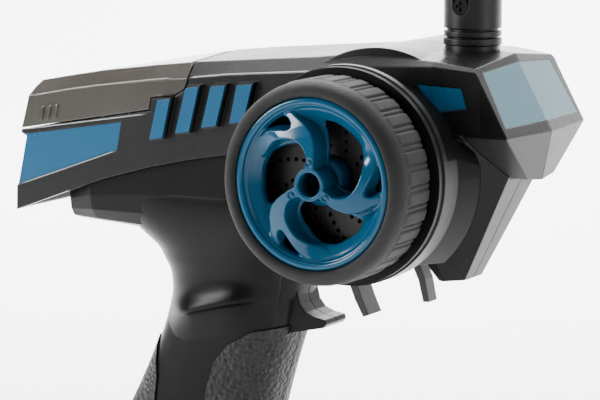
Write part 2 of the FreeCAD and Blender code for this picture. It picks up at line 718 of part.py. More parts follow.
keep(cut("base", base_block, cavity, mouth, groove, lip_gap, wire_way, *foot_wells, *base_holes),
     "base_housing")
feet = [rod(f"foot_{i}", (str(x), str(y), "0"), "foot_radius", "foot_thick") for i, (x, y) in enumerate(FEET)]
keep(grouped("feet", *feet), "rubber_feet")

door_plate = block("door_plate", ("door_rear", "-door_width / 2", "0"),
                   ("base_length / 2 - door_rear", "door_width", "door_thick"))
door_lip = block("door_lip", ("base_length / 2 - 2.6", "-door_width / 2", "0"), ("2.6", "door_width", "12"))
door_tongue = block("door_tongue", ("door_rear", "-door_width / 2 - 1.6", "1.2"),
                    ("78", "door_width + 3.2", "0.8"))
grip_ribs = [block(f"door_rib_{i}", (str(30 + 3 * i), "-9", "-0.1"), ("1.2", "18", "0.7")) for i in range(4)]
door_raw = fused("door_raw", door_plate, door_lip, door_tongue)
door = doc.addObject("Part::MultiCommon", "door_inside_outline")
door.Shapes = [door_raw, base_block]
keep(cut("door", door, *grip_ribs), "battery_door")

cells = []
contacts = []
for column in range(4):
    for level in ("cell_low", "cell_high"):
        x = f"(cell_pitch * {column - 1.5})"
        tag = f"{column}_{level[5:]}"
        can = rod(f"can_{tag}", (x, "-cell_length / 2", level), "cell_radius", "cell_length - 1", "Y")
        nub = rod(f"nub_{tag}", (x, "cell_length / 2 - 1", level), "2.7", "1", "Y")
        cells.append(fused(f"cell_{tag}", can, nub))
        plus = block(f"plus_{tag}", (f"{x} - 5", "cell_length / 2 + 0.1", f"{level} - 5"), ("10", "0.5", "10"))
        minus = block(f"minus_{tag}", (f"{x} - 5", "-cell_length / 2 - 1.1", f"{level} - 5"),
                      ("10", "0.5", "10"))
        coil = cone(f"coil_{tag}", (x, "-cell_length / 2 - 0.6", level), "4.5", "2.5", "0.55", "Y")
        contacts += [plus, fused(f"sprung_{tag}", minus, coil)]
keep(grouped("cells", *cells), "battery_cells")
keep(grouped("contacts", *contacts), "battery_contacts")
tray_outer = block("tray_outer", ("-2 * cell_pitch - 1.9", "-cell_length / 2 - 2.6", "2.5"),
                   ("4 * cell_pitch + 3.8", "cell_length + 5.2", "30.6"))
tray_inner = block("tray_inner", ("-2 * cell_pitch - 0.4", "-cell_length / 2 - 1.1", "1"),
                   ("4 * cell_pitch + 0.8", "cell_length + 2.2", "40"))
keep(cut("tray", tray_outer, tray_inner), "battery_tray")
base_screws = []
for i, (x, y) in enumerate(flange_screws):
    seat = "base_height - base_wall"
    shank = rod(f"shank_{i}", (str(x), str(y), seat), "screw_radius", "6.5")
    cap = rod(f"cap_{i}", (str(x), str(y), f"{seat} - 1.8"), "screw_head", "1.8")
    slot_cut = block(f"slot_{i}", (f"{x} - 2", f"{y} - 0.35", f"{seat} - 2"), ("4", "0.7", "1"))
    base_screws.append(cut(f"base_screw_{i}", fused(f"screw_body_{i}", shank, cap), slot_cut))
keep(grouped("base_screw_set", *base_screws), "base_screws")

# ---------------------------------------------------------------- steering
pod_low = turned("pod_low", [
    ("bush_radius", "0"), ("pod_lip", "0"), ("pod_lip", "2"), ("pod_band", "2.4"),
    ("pod_band", "pod_front - pod_step"), ("drum_radius - 0.1", "pod_front - drum_half"),
    ("pod_neck - wall", "pod_front - drum_half"), ("pod_neck - wall", "2.4"), ("8", "2.4"), ("8", "11"),
    ("bush_radius", "11"),
], "axis_x", "-pod_front", "axis_z", "Y")
pod_high = turned("pod_high", [
    ("bush_radius", "0"), ("pod_lip", "0"), ("pod_lip", "2"), ("pod_band", "2.4"),
    ("pod_band", "4.6"), ("pod_neck", "12"), ("pod_neck", "pod_front - 22"),
    ("pod_neck - wall", "pod_front - 22"), ("pod_neck - wall", "2.4"), ("8", "2.4"), ("8", "11"),
    ("bush_radius", "11"),
], "axis_x", "-pod_front", "axis_z", "Y")
doc.recompute()
under_boss_top = prism_y(BOSS_TOP + [(130.0, 100.0), (-90.0, 100.0)])
pod_shape = pod_low.Shape.common(under_boss_top).fuse(pod_high.Shape.cut(under_boss_top))
pod_floor = Part.makeBox(FAR, 20.0, FAR, Vector(-FAR / 2, -size("pod_step"), size("drum_floor") - FAR))
pod_shell = size("wall")
pod_base = cylinder_y(AXIS_X, AXIS_Z, size("pod_lip") - 0.3, -size("pod_step"), -size("drum_half"))
pod_base = pod_base.common(Part.makeBox(FAR, FAR, pod_shell, Vector(-FAR / 2, -FAR / 2, size("drum_floor"))))
pod_shape = pod_shape.cut([pod_floor, head_outer, lower_outer]).fuse(pod_base)
keep(feature("pod", pod_shape), "wheel_pod")

bush = rod("bush_body", ("axis_x", "-pod_front - 0.2", "axis_z"), "bush_radius - 0.02", "11.2", "Y")
bush_bore = rod("bush_bore", ("axis_x", "-pod_front - 1", "axis_z"), "shaft_radius + running", "14", "Y")
keep(cut("bush", bush, bush_bore), "shaft_bush")
SHAFT_FRONT = "(rim_front - 9.2)"
shaft_rod = rod("shaft_rod", ("axis_x", f"-{SHAFT_FRONT}", "axis_z"), "shaft_radius", f"{SHAFT_FRONT} - 14", "Y")
shaft_pilot = rod("shaft_pilot", ("axis_x", f"-{SHAFT_FRONT} - 1", "axis_z"), "screw_radius", "9", "Y")
keep(cut("shaft", shaft_rod, shaft_pilot), "wheel_shaft")
pot_box = block("pot_box", ("axis_x - 8", "-22", "axis_z - 10"), ("16", "7.5", "20"))
pot_bore = rod("pot_bore", ("axis_x", "-23", "axis_z"), "shaft_radius + running", "10", "Y")
keep(cut("steer_pot", pot_box, pot_bore), "steering_sensor")
bracket_plate = block("bracket_plate", ("axis_x - 15.4", "-24.6", "axis_z - 13"), ("30.8", "1.8", "26"))
bracket_bore = rod("bracket_bore", ("axis_x", "-26", "axis_z"), "6", "6", "Y")
keep(cut("bracket", bracket_plate, bracket_bore), "sensor_bracket")


def coil_spring(radius, wire, pitch, turns, place, axis):
    """A torsion spring drawn as its separate turns, each a ring, joined by short crossings."""
    coil = Part.makeTorus(radius, wire)
    for turn in range(1, turns):
        ring = Part.makeTorus(radius, wire, Vector(0, 0, pitch * turn))
        side = math.radians(40.0 * turn)
        foot = Vector(radius * math.cos(side), radius * math.sin(side), pitch * (turn - 1))
        coil = coil.fuse([ring, Part.makeCylinder(wire * 0.8, pitch, foot)])
    coil.Placement = Placement(place, AXES[axis])
    return coil


keep(feature("steer_spring", coil_spring(6.0, 0.55, 1.4, 5, Vector(AXIS_X, -35.0, AXIS_Z), "Y")),
     "steering_spring")

HUB_WINDOW = (7.8, 14.6)
WINDOW_TURN = 78.0
hub_blank = turned("hub_blank", [
    ("rim_radius - 1.9", "0"), ("rim_radius", "0"), ("rim_radius", "rim_front - rim_back"),
    ("rim_radius - 1.4", "rim_front - rim_back"), ("rim_radius - 1.4", "4.6"), ("14.2", "9.8"),
    ("6.8", "8.8"), ("6.8", "15"), ("shaft_radius + 0.02", "15"), ("shaft_radius + 0.02", "9.3"),
    ("3.5", "9.3"), ("3.5", "0.5"), ("6.6", "0.5"), ("7.6", "1.6"), ("14", "7.6"), ("rim_radius - 2.6", "2.2"),
], "axis_x", "-rim_front", "axis_z", "Y")
doc.recompute()
RIM_FRONT = size("rim_front")
windows = []
for blade in range(3):
    ring = cylinder_y(0, 0, HUB_WINDOW[1], -RIM_FRONT, -RIM_FRONT + 12)
    ring = ring.cut(cylinder_y(0, 0, HUB_WINDOW[0], -RIM_FRONT - 1, -RIM_FRONT + 13))
    opening = math.radians(WINDOW_TURN / 2)
    reach = 40.0
    wedge = prism_y([(0.0, 0.0), (reach * math.sin(opening), reach * math.cos(opening)),
                     (0.0, reach * 1.5), (-reach * math.sin(opening), reach * math.cos(opening))], -FAR, FAR)
    window = ring.common(wedge)
    window.rotate(Vector(), Vector(0, 1, 0), 60.0 + 120.0 * blade)
    windows.append(window.translated(Vector(AXIS_X, 0, AXIS_Z)))
keep(feature("hub", hub_blank.Shape.cut(windows)), "wheel_hub")
tyre = turned("tyre", [
    ("rim_radius + 0.05", "0.6"), ("25", "0"), ("26.6", "0.35"), ("27.8", "1.5"), ("tyre_radius", "4.2"),
    ("tyre_radius", "16.4"), ("tyre_radius - 0.6", "tyre_front - tyre_back"),
    ("rim_radius + 0.05", "tyre_front - tyre_back"),
], "axis_x", "-tyre_front", "axis_z", "Y")
keep(tyre, "foam_tyre")
disc_plate = rod("disc_plate", ("axis_x", "-rim_front + 11.2", "axis_z"), "disc_radius", "1.2", "Y")
disc_bore = rod("disc_bore", ("axis_x", "-rim_front + 10", "axis_z"), "6.9", "4", "Y")
ROWS = 12
holes = []
for row in range(ROWS):
    for step in range(5):
        turn = 2 * math.pi * row / ROWS + 0.09 * step
        reach = 9.6 + 2.3 * step
        holes.append(cylinder_y(AXIS_X + reach * math.cos(turn), AXIS_Z + reach * math.sin(turn), 0.55,
                                -RIM_FRONT + 10, -RIM_FRONT + 14))
disc_holes = feature("disc_holes", Part.makeCompound(holes))
keep(cut("disc", disc_plate, disc_bore, disc_holes), "brake_disc_insert")
cap = rod("wheel_screw_cap", ("axis_x", f"-{SHAFT_FRONT} - 2.2", "axis_z"), "3.2", "2.2", "Y")
shank = rod("wheel_screw_shank", ("axis_x", f"-{SHAFT_FRONT}", "axis_z"), "screw_radius", "7.5", "Y")
cross = block("wheel_screw_cross", ("axis_x - 0.4", f"-{SHAFT_FRONT} - 3", "axis_z - 2"), ("0.8", "1.6", "4"))
across = block("wheel_screw_across", ("axis_x - 2", f"-{SHAFT_FRONT} - 3", "axis_z - 0.4"), ("4", "1.6", "0.8"))
keep(cut("wheel_fixing", fused("wheel_fixing_body", cap, shank), cross, across), "wheel_screw")

# ---------------------------------------------------------------- trigger
PIVOT_X = size("pivot_x")
PIVOT_Z = size("pivot_z")
frame_outer = block("frame_outer", ("pivot_x - 7", "-10.6", "pivot_z - 6"), ("14", "21.2", "16"))
frame_inner = block("frame_inner", ("pivot_x - 8", "-8.6", "pivot_z - 7"), ("16", "17.2", "15.2"))
frame_bore = rod("frame_bore", ("pivot_x", "-12", "pivot_z"), "pin_radius", "24", "Y")
keep(cut("trigger_carrier", frame_outer, frame_inner, frame_bore), "trigger_bracket")
keep(rod("trigger_pin", ("pivot_x", "-17", "pivot_z"), "pin_radius - 0.02", "33", "Y"), "trigger_shaft")
BLADE_A = [(45.6, 136.0), (44.7, 128.0), (44.9, 121.1), (46.8, 116.5), (49.5, 111.7), (51.4, 112.4),
           (49.0, 117.5), (47.3, 121.8), (47.4, 128.0), (48.6, 136.0)]
BLADE_B = [(62.6, 134.0), (64.6, 129.4), (67.1, 124.1), (68.7, 117.8), (70.6, 117.9), (69.2, 124.6),
           (66.9, 130.0), (65.0, 135.0), (63.6, 137.0)]
YOKE = [(47.0, 149.0), (45.8, 138.0), (45.6, 135.5), (48.6, 135.5), (50.5, 137.6), (54.0, 138.6),
        (60.0, 137.4), (62.4, 133.6), (65.0, 135.0), (63.6, 138.6), (60.0, 141.0), (57.0, 145.0), (56.9, 149.0)]
lever_half = size("lever_half")
lever = cylinder_y(PIVOT_X, PIVOT_Z, 5.0, -7.6, 7.6)
lever = lever.fuse([prism_y(YOKE, -3.2, 3.2), prism_y(BLADE_A, -lever_half, lever_half),
                    prism_y(BLADE_B, -2.6, 2.6)])
lever = lever.cut(cylinder_y(PIVOT_X, PIVOT_Z, size("pin_radius") + size("running"), -20, 20))
keep(feature("lever", lever), "trigger_lever")
keep(feature("trig_spring", coil_spring(3.6, 0.4, 1.0, 4, Vector(PIVOT_X, 11.8, PIVOT_Z), "Y")),
     "trigger_spring")
sensor_box = block("sensor_box", ("pivot_x - 8", "-19", "pivot_z - 7"), ("13.5", "7.5", "13"))
sensor_bore = rod("sensor_bore", ("pivot_x", "-20", "pivot_z"), "pin_radius + running", "10", "Y")
keep(cut("trig_sensor", sensor_box, sensor_bore), "trigger_sensor")

# ---------------------------------------------------------------- antenna
keep(turned("collar", [
    ("4.06", "0"), ("9.6", "0"), ("9.6", "1.8"), ("7.85", "1.8"), ("7.85", "7.2"), ("4.06", "7.2"),
], "mast_x", "0", "186.5", "Z"), "antenna_collar")
swivel_blank = turned("swivel_blank", [
    ("0", "0"), ("5.2", "0"), ("5.2", "1.8"), ("4", "1.8"), ("4", "9.4"), ("8.4", "9.4"), ("8.4", "11.1"),
    ("7.4", "11.3"), ("7.4", "11.6"), ("sleeve_radius", "11.8"), ("sleeve_radius", "13.2"), ("7.4", "13.4"),
    ("7.4", "13.9"), ("sleeve_radius", "14.1"), ("sleeve_radius", "28.9"), ("0", "28.9"),
], "mast_x", "0", "184.5", "Z")
MAST_PIVOT = size("mast_pivot")
dome = doc.addObject("Part::Feature", "sleeve_dome")
dome.Shape = cylinder_y(MAST_X, MAST_PIVOT, 8.4, -20, 20).fuse(
    Part.makeBox(40, 40, 40, Vector(MAST_X - 20, -20, MAST_PIVOT - 40)))
sleeve = doc.addObject("Part::MultiCommon", "sleeve")
sleeve.Shapes = [swivel_blank, dome]
sleeve_slot = block("sleeve_slot", ("mast_x - 12", "-tongue_half - 0.08", "mast_pivot - 4.8"),
                    ("16.9", "2 * tongue_half + 0.16", "20"))
screw_recess = rod("screw_recess", ("mast_x", "-10", "mast_pivot"), "2.5", "3.2", "Y")
recess_run = block("recess_run", ("mast_x - 2.5", "-10", "mast_pivot"), ("5", "3.2", "12"))
sleeve_bore = rod("sleeve_bore", ("mast_x", "-10", "mast_pivot"), "1.5", "17.5", "Y")
keep(cut("swivel", sleeve, sleeve_slot, screw_recess, recess_run, sleeve_bore), "antenna_swivel")
pivot_cap = rod("pivot_cap", ("mast_x", "-8", "mast_pivot"), "2.3", "1.2", "Y")
pivot_pin = rod("pivot_pin", ("mast_x", "-6.9", "mast_pivot"), "1.48", "14", "Y")
pivot_slot = block("pivot_slot", ("mast_x - 0.35", "-8.5", "mast_pivot - 1.5"), ("0.7", "1.1", "3"))
pivot_across = block("pivot_across", ("mast_x - 1.5", "-8.5", "mast_pivot - 0.35"), ("3", "1.1", "0.7"))
keep(cut("pivot_screw", fused("pivot_screw_body", pivot_cap, pivot_pin), pivot_slot, pivot_across),
     "antenna_pivot_screw")
mast_body = turned("mast_body", [
    ("0", "0"), ("sleeve_radius", "0"), ("sleeve_radius", "4"), ("7", "10"),
    ("5.4", "mast_top - mast_pivot - 16"), ("4.7", "mast_top - mast_pivot - 11.6"),
    ("2.8", "mast_top - mast_pivot - 9.5"), ("0", "mast_top - mast_pivot - 8.9"),
], "mast_x", "0", "mast_pivot + 8.9", "Z")
tongue_round = rod("tongue_round", ("mast_x", "-tongue_half", "mast_pivot"), "4.6", "2 * tongue_half", "Y")
tongue_neck = block("tongue_neck", ("mast_x - 4.6", "-tongue_half", "mast_pivot"),
                    ("9.2", "2 * tongue_half", "9.5"))
tongue_bore = rod("tongue_bore", ("mast_x", "-10", "mast_pivot"), "1.48 + running", "20", "Y")
keep(cut("mast", fused("mast_raw", mast_body, tongue_round, tongue_neck), tongue_bore), "antenna_mast")

# ---------------------------------------------------------------- control panel under the lid
PANEL_TILT = 10.8
PANEL_FRAME = Placement(Vector(-52.0, 0, 162.6), Rotation(Vector(0, 1, 0), -PANEL_TILT))


def on_panel(thing, u, v, w):
    """Stands a primitive on the sloping panel: u forwards, v to the left, w out of the panel."""
    thing.Placement = PANEL_FRAME.multiply(Placement(Vector(u, v, w), Rotation()))
    return thing


def panel_rod(name, u, v, w, radius, length):
    """A cylinder square to the panel."""
    cylinder = doc.addObject("Part::Cylinder", name)
    bind(cylinder, {"Radius": radius, "Height": length})
    return on_panel(cylinder, u, v, w)


def panel_block(name, u, v, w, sides):
    """A box square to the panel, from its low corner."""
    box = doc.addObject("Part::Box", name)
    bind(box, dict(zip(("Length", "Width", "Height"), sides)))
    return on_panel(box, u, v, w)


KNOBS = {"steering_trim_knob": (10.0, -13.0), "throttle_trim_knob": (10.0, 13.0), "rate_knob": (23.0, 0.0)}
panel_cuts = []
for node, (u, v) in KNOBS.items():
    barrel = panel_rod(node + "_barrel", u, v, 0.4, "5", "7")
    stem = panel_rod(node + "_stem", u, v, -3.8, "1.5", "5")
    flutes = []
    for flute in range(14):
        turn = 2 * math.pi * flute / 14
        flutes.append(panel_rod(f"{node}_flute_{flute}", u + 5.3 * math.cos(turn), v + 5.3 * math.sin(turn), 1.4,
                                "0.7", "7"))
    pointer = panel_block(node + "_pointer", u, v - 0.4, 6.8, ("5", "0.8", "2"))
    keep(cut(node + "_turned", fused(node + "_raw", barrel, stem), *flutes, pointer), node)
    panel_cuts.append(panel_rod(node + "_hole", u, v, -5.0, "1.5 + running", "8"))
SWITCHES = {"reverse_switch_right": -16.0, "reverse_switch_left": 13.0}
for node, v in SWITCHES.items():
    slider = panel_block(node + "_slider", 33.2, v, -3.8, ("2.8", "3", "5.6"))
    keep(slider, node)
    panel_cuts.append(panel_block(node + "_slot", 33.0, v - 3.2 if v > 0 else v - 0.2, -5.0, ("3.2", "6.4", "8")))
keep(panel_block("power_slider", 36.0, -2.6, -3.8, ("3.4", "5.2", "6.2")), "power_switch")
panel_cuts.append(panel_block("power_slot", 31.5, -2.8, -5.0, ("8.2", "5.6", "8")))
button_cap = panel_rod("button_cap", 22.0, -17.0, -2.4, "2", "4")
keep(button_cap, "bind_button")
panel_cuts.append(panel_rod("button_hole", 22.0, -17.0, -5.0, "2 + running", "8"))
lamps = []
for i, v in enumerate((-5.0, 0.0, 5.0)):
    lamps.append(panel_rod(f"lamp_{i}", 3.4, v, -3.0, "1.48", "4"))
    panel_cuts.append(panel_rod(f"lamp_hole_{i}", 3.4, v, -5.0, "1.5", "8"))
keep(grouped("lamps", *lamps), "indicator_leds")
panel_plate = panel_block("panel_plate", 0.0, -25.2, -1.6, ("41.4", "50.4", "1.6"))
keep(cut("panel", panel_plate, *panel_cuts), "control_panel")
keep(panel_block("panel_board", 1.2, -21.0, -5.6, ("38", "42", "1.6")), "control_pcb")

# ---------------------------------------------------------------- electronics in the head
board = block("board", ("10", "-21", "176.6"), ("46", "42", "1.6"))
chips = [
    block(f"chip_{i}", (str(x), str(y), "178.2"), (str(a), str(b), "1.4"))
    for i, (x, y, a, b) in enumerate(((13, -8, 10, 10), (14, 8, 7, 5), (26, -16, 5, 7), (27, 4, 6, 12)))
]
keep(fused("board_with_chips", board, *chips), "main_pcb")
keep(block("radio_box", ("36", "-8", "178.3"), ("17", "16", "3.6")), "rf_module")

doc.recompute()
# ---------------------------------------------------------------- write every sub-part
doc.recompute()
faults = [thing.Name for thing in doc.Objects if {"Invalid", "Error"} & set(thing.State)]
for node, thing in nodes.items():
    if thing.Shape.isNull() or not thing.Shape.isValid() or not thing.Shape.Solids:
        faults.append(node)
if faults:
    raise RuntimeError("these did not build: " + ", ".join(faults))
os.makedirs("parts", exist_ok=True)
for node, thing in nodes.items():
    thing.Shape.exportStep(os.path.join("parts", node + ".step"))
    print(f"{node}: {len(thing.Shape.Solids)} solid(s), {thing.Shape.Volume:.0f} mm3")
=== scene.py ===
"""A pistol-grip radio transmitter for model cars, dressed for its picture."""
import math

import bmesh
import bpy
import numpy as np
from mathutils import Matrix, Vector


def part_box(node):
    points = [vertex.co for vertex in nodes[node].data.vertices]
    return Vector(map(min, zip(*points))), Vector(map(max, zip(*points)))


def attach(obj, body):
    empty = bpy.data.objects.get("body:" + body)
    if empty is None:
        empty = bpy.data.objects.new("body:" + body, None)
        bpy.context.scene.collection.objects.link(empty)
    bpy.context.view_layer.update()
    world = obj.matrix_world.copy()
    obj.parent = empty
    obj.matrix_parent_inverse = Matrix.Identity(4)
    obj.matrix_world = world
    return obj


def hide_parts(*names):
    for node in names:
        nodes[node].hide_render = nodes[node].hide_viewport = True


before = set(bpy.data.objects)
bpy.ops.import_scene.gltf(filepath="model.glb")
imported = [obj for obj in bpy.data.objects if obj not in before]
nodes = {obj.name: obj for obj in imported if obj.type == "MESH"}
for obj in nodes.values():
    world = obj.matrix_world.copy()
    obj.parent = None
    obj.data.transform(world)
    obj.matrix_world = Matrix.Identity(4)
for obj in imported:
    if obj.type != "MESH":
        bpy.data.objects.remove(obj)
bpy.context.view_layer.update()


# ---------------------------------------------------------------- camera and studio
# The transmitter stands on a pale table and is seen from its right side, a little in front and a
# little above. A wide box lights it from overhead, a small key from its rear right and a fill
# from in front, and a fourth box whitens the sheet behind.
def aim(thing, target):
    """Turns a camera or a lamp so that its -Z looks at the target, with no roll."""
    direction = Vector(target) - thing.location
    thing.rotation_euler = direction.to_track_quat("-Z", "Y").to_euler()


def soft_box(name, place, target, width, height, power):
    """A rectangular soft light of that size in metres and power in watts."""
    lamp = bpy.data.lights.new(name, "AREA")
    lamp.shape = "RECTANGLE"
    lamp.size = width
    lamp.size_y = height
    lamp.energy = power
    thing = bpy.data.objects.new(name, lamp)
    bpy.context.scene.collection.objects.link(thing)
    thing.location = place
    aim(thing, target)


EYE = (0.4278, -0.6964, 0.2666)
SIGHT = (0.06397, -0.06629, 0.15593)
camera_data = bpy.data.cameras.new("view")
camera_data.lens = 163.2
camera_data.sensor_width = 36.0
camera = bpy.data.objects.new("view", camera_data)
bpy.context.scene.collection.objects.link(camera)
camera.location = EYE
aim(camera, SIGHT)
bpy.context.scene.camera = camera

HEAD_MIDDLE = (0.03, 0.0, 0.17)
soft_box("overhead", (0.0, 0.25, 0.95), HEAD_MIDDLE, 1.4, 1.0, 26.0)
soft_box("left_key", (-0.75, -0.75, 0.47), HEAD_MIDDLE, 0.35, 0.35, 15.0)
soft_box("front_fill", (0.95, -0.15, 0.35), HEAD_MIDDLE, 0.5, 0.9, 3.0)
soft_box("backdrop", (-0.6, 1.0, 1.3), (-0.8, 1.5, 0.0), 2.0, 1.4, 190.0)

world = bpy.data.worlds.new("room")
bpy.context.scene.world = world
world.use_nodes = True
daylight = world.node_tree.nodes["Background"]
daylight.inputs["Color"].default_value = (0.95, 0.97, 1.0, 1.0)
daylight.inputs["Strength"].default_value = 0.34


# ---------------------------------------------------------------- table
# A seamless sheet of pale paper, 6 m wide: it lies flat under the base, and behind it curves up
# in a quarter circle, so that no edge shows.
def surface(name, points, closed_u=False, closed_v=False, flip=False, capped=False):
    """A mesh object from a grid of points, shape (rows, columns, 3), joined into quads.

    closed_u joins the last row to the first, closed_v the last column to the first, and capped
    fills the first and last rows with a fan about their middles."""
    rows, columns = points.shape[:2]
    i, j = np.meshgrid(np.arange(rows if closed_u else rows - 1),
                       np.arange(columns if closed_v else columns - 1), indexing="ij")
    i2, j2 = (i + 1) % rows, (j + 1) % columns
    quads = np.stack([i * columns + j, i2 * columns + j, i2 * columns + j2, i * columns + j2], -1)
    faces = quads.reshape(-1, 4).tolist()
    points, rim = points.reshape(-1, 3), np.arange(columns)
    if capped:
        last, poles = rim + (rows - 1) * columns, len(points) + np.array([0, 1])
        points = np.concatenate([points, [points[rim].mean(0), points[last].mean(0)]])
        faces += np.stack([np.roll(rim, -1), rim, np.full(columns, poles[0])], 1)[:, ::-1].tolist()
        faces += np.stack([last, np.roll(last, -1), np.full(columns, poles[1])], 1)[:, ::-1].tolist()
    return solid(name, points, [face[::-1] for face in faces] if flip else faces)


def solid(name, points, faces):
    """A smooth-shaded mesh object from vertices in metres and lists of their numbers."""
    mesh = bpy.data.meshes.new(name)
    mesh.from_pydata(points.tolist(), [], faces)
    return shown(name, mesh)


def shown(name, mesh):
    """An object of that mesh, shaded smooth."""
    mesh.shade_smooth()
    thing = bpy.data.objects.new(name, mesh)
    bpy.context.scene.collection.objects.link(thing)
    return thing


def blank_material(name):
    """A node material with its Principled shader and its node tree."""
    material = bpy.data.materials.new(name)
    material.use_nodes = True
    return material, material.node_tree, material.node_tree.nodes["Principled BSDF"]


TABLE_FRONT = -2.0
TABLE_BEND = 0.8
TABLE_RADIUS = 1.2
TABLE_HALF = 3.0


def paper_sweep(rows=60):
    """Half the rows run flat from the front to the bend, and half turn up a quarter circle."""
    sweep = np.linspace(0, 1, rows)
    turn = (sweep - 0.5) * math.pi
    flat = TABLE_FRONT + 2 * (TABLE_BEND - TABLE_FRONT) * sweep
    points = np.zeros((rows, 3, 3))
    points[..., 0] = np.linspace(-TABLE_HALF, TABLE_HALF, 3)
    points[..., 1] = np.where(sweep < 0.5, flat, TABLE_BEND + TABLE_RADIUS * np.sin(turn))[:, None]
    points[..., 2] = np.where(sweep < 0.5, 0.0, TABLE_RADIUS * (1 - np.cos(turn)))[:, None]
    return surface("table", points, flip=True)


table = paper_sweep()
table_paper, _, paper = blank_material("table_paper")
paper.inputs["Base Color"].default_value = (0.86, 0.86, 0.86, 1.0)
paper.inputs["Roughness"].default_value = 0.9
table.data.materials.append(table_paper)


# ---------------------------------------------------------------- mouldings
# Head and grip are four injection-moulded halves in charcoal ABS with a fine spark-eroded
# texture, closed on the middle plane with six screws from the left.
def noise(tree, scale, detail=4.0, rough=0.55):
    """A noise texture on the piece's own coordinates."""
    place = tree.nodes.new("ShaderNodeTexCoord")
    texture = tree.nodes.new("ShaderNodeTexNoise")
    texture.inputs["Scale"].default_value = scale
    texture.inputs["Detail"].default_value = detail
    texture.inputs["Roughness"].default_value = rough
    tree.links.new(place.outputs["Object"], texture.inputs["Vector"])
    return texture.outputs["Fac"]


def ranged(tree, value, low, high, start=0.3, end=0.7):
    """value stretched from start..end onto low..high."""
    spread = tree.nodes.new("ShaderNodeMapRange")
    spread.inputs["From Min"].default_value = start
    spread.inputs["From Max"].default_value = end
    spread.inputs["To Min"].default_value = low
    spread.inputs["To Max"].default_value = high
    tree.links.new(value, spread.inputs["Value"])
    return spread.outputs["Result"]


def two_tone(tree, value, first, second):
    """A colour between first and second, by value."""
    mix = tree.nodes.new("ShaderNodeMix")
    mix.data_type = "RGBA"
    mix.inputs["A"].default_value = (*first, 1.0)
    mix.inputs["B"].default_value = (*second, 1.0)
    tree.links.new(value, mix.inputs["Factor"])
    return mix.outputs["Result"]


def bumped(tree, value, distance, under=None):
    """A bump of that height in metres, laid over another bump where one is given."""
    bump = tree.nodes.new("ShaderNodeBump")
    bump.inputs["Distance"].default_value = distance
    bump.inputs["Strength"].default_value = 1.0
    tree.links.new(value, bump.inputs["Height"])
    if under is not None:
        tree.links.new(under, bump.inputs["Normal"])
    return bump.outputs["Normal"]


def moulded_plastic(name, dark, light, gloss, grain, depth, coat=0.0, shine=0.3, edge=0.0):
    """A plastic with cloudy colour, uneven gloss and a fine grain of that scale and depth.

    gloss is the pair of lowest and highest roughness, shine the specular level, coat the weight
    of a clear skin, and edge the radius worn on its corners in metres."""
    material, tree, shader = blank_material(name)
    cloud = noise(tree, 22.0)
    tree.links.new(two_tone(tree, ranged(tree, cloud, 0, 1), dark, light), shader.inputs["Base Color"])
    smear = noise(tree, 55.0, 6.0, 0.7)
    tree.links.new(ranged(tree, smear, *gloss), shader.inputs["Roughness"])
    fine = noise(tree, grain, 2.0, 0.5)
    softened = None
    if edge:
        corner = tree.nodes.new("ShaderNodeBevel")
        corner.samples = 6
        corner.inputs["Radius"].default_value = edge
        softened = corner.outputs["Normal"]
    tree.links.new(bumped(tree, fine, depth, under=softened), shader.inputs["Normal"])
    shader.inputs["Coat Weight"].default_value = coat
    shader.inputs["Coat Roughness"].default_value = 0.08
    shader.inputs["Specular IOR Level"].default_value = shine
    return material


def dress(material, *names):
    """Gives CAD nodes one material."""
    for name in names:
        slots = nodes[name].data.materials
        slots.clear()
        slots.append(material)


PARTING = 0.00016
# The seam between the halves is real; its black colour is painted shade of the gap.
SEAM_SHADE = (0.0004, 0.0004, 0.0004, 1.0)


def part_line(material):
    """Paints shade into the hairline where two halves meet, within PARTING of the middle plane."""
    tree = material.node_tree
    shader = tree.nodes["Principled BSDF"]
    place = tree.nodes.new("ShaderNodeTexCoord")
    split = tree.nodes.new("ShaderNodeSeparateXYZ")
    tree.links.new(place.outputs["Object"], split.inputs["Vector"])
    reach = tree.nodes.new("ShaderNodeMath")
    reach.operation = "ABSOLUTE"
    tree.links.new(split.outputs["Y"], reach.inputs[0])
    beyond = ranged(tree, reach.outputs["Value"], 0.0, 1.0, PARTING, PARTING * 1.6)
    for socket, kind, closed in (("Base Color", "RGBA", SEAM_SHADE), ("Roughness", "FLOAT", 1.0)):
        mix = tree.nodes.new("ShaderNodeMix")
        mix.data_type = kind
        mix.inputs["A"].default_value = closed
        tree.links.new(shader.inputs[socket].links[0].from_socket, mix.inputs["B"])
        tree.links.new(beyond, mix.inputs["Factor"])
        tree.links.new(mix.outputs["Result"], shader.inputs[socket])


charcoal = moulded_plastic("charcoal_abs", (0.0035, 0.0036, 0.004), (0.0055, 0.0057, 0.0062),
                           (0.24, 0.34), 2600.0, 0.00002, shine=0.2, edge=0.0007)
part_line(charcoal)
# The grip halves and throat wear a darker, less shiny copy of the charcoal ABS: the grip's darker tone is
# painted shade.
grip_painted_shade = moulded_plastic("grip_abs_painted_shade", (0.002, 0.002, 0.0023), (0.003, 0.0031, 0.0034),
                             (0.26, 0.34), 2600.0, 0.00001, shine=0.1, edge=0.0007)
part_line(grip_painted_shade)
dress(charcoal, "head_shell_right", "head_shell_left", "base_housing", "battery_door")
dress(grip_painted_shade, "grip_shell_right", "grip_shell_left")

# ---------------------------------------------------------------- blue inlays and name plate
# Thin polystyrene inlays sprayed in blue lacquer and snapped into the head's recesses, and a
# plain name plate in a paler blue paint glued across the nose.
blue_lacquer = moulded_plastic("blue_lacquer", (0.003, 0.062, 0.135), (0.0035, 0.068, 0.148),
                               (0.26, 0.31), 1800.0, 0.000008, shine=0.22, edge=0.0003)
dress(blue_lacquer, "side_panel_right", "side_panel_left", "front_insert_right", "front_insert_left",
      "slat_inlays_right", "slat_inlays_left")
plate_paint = moulded_plastic("plate_paint", (0.045, 0.115, 0.150), (0.052, 0.127, 0.165),
                              (0.34, 0.4), 1500.0, 0.000006, shine=0.3, edge=0.0003)
dress(plate_paint, "nose_label_plate")

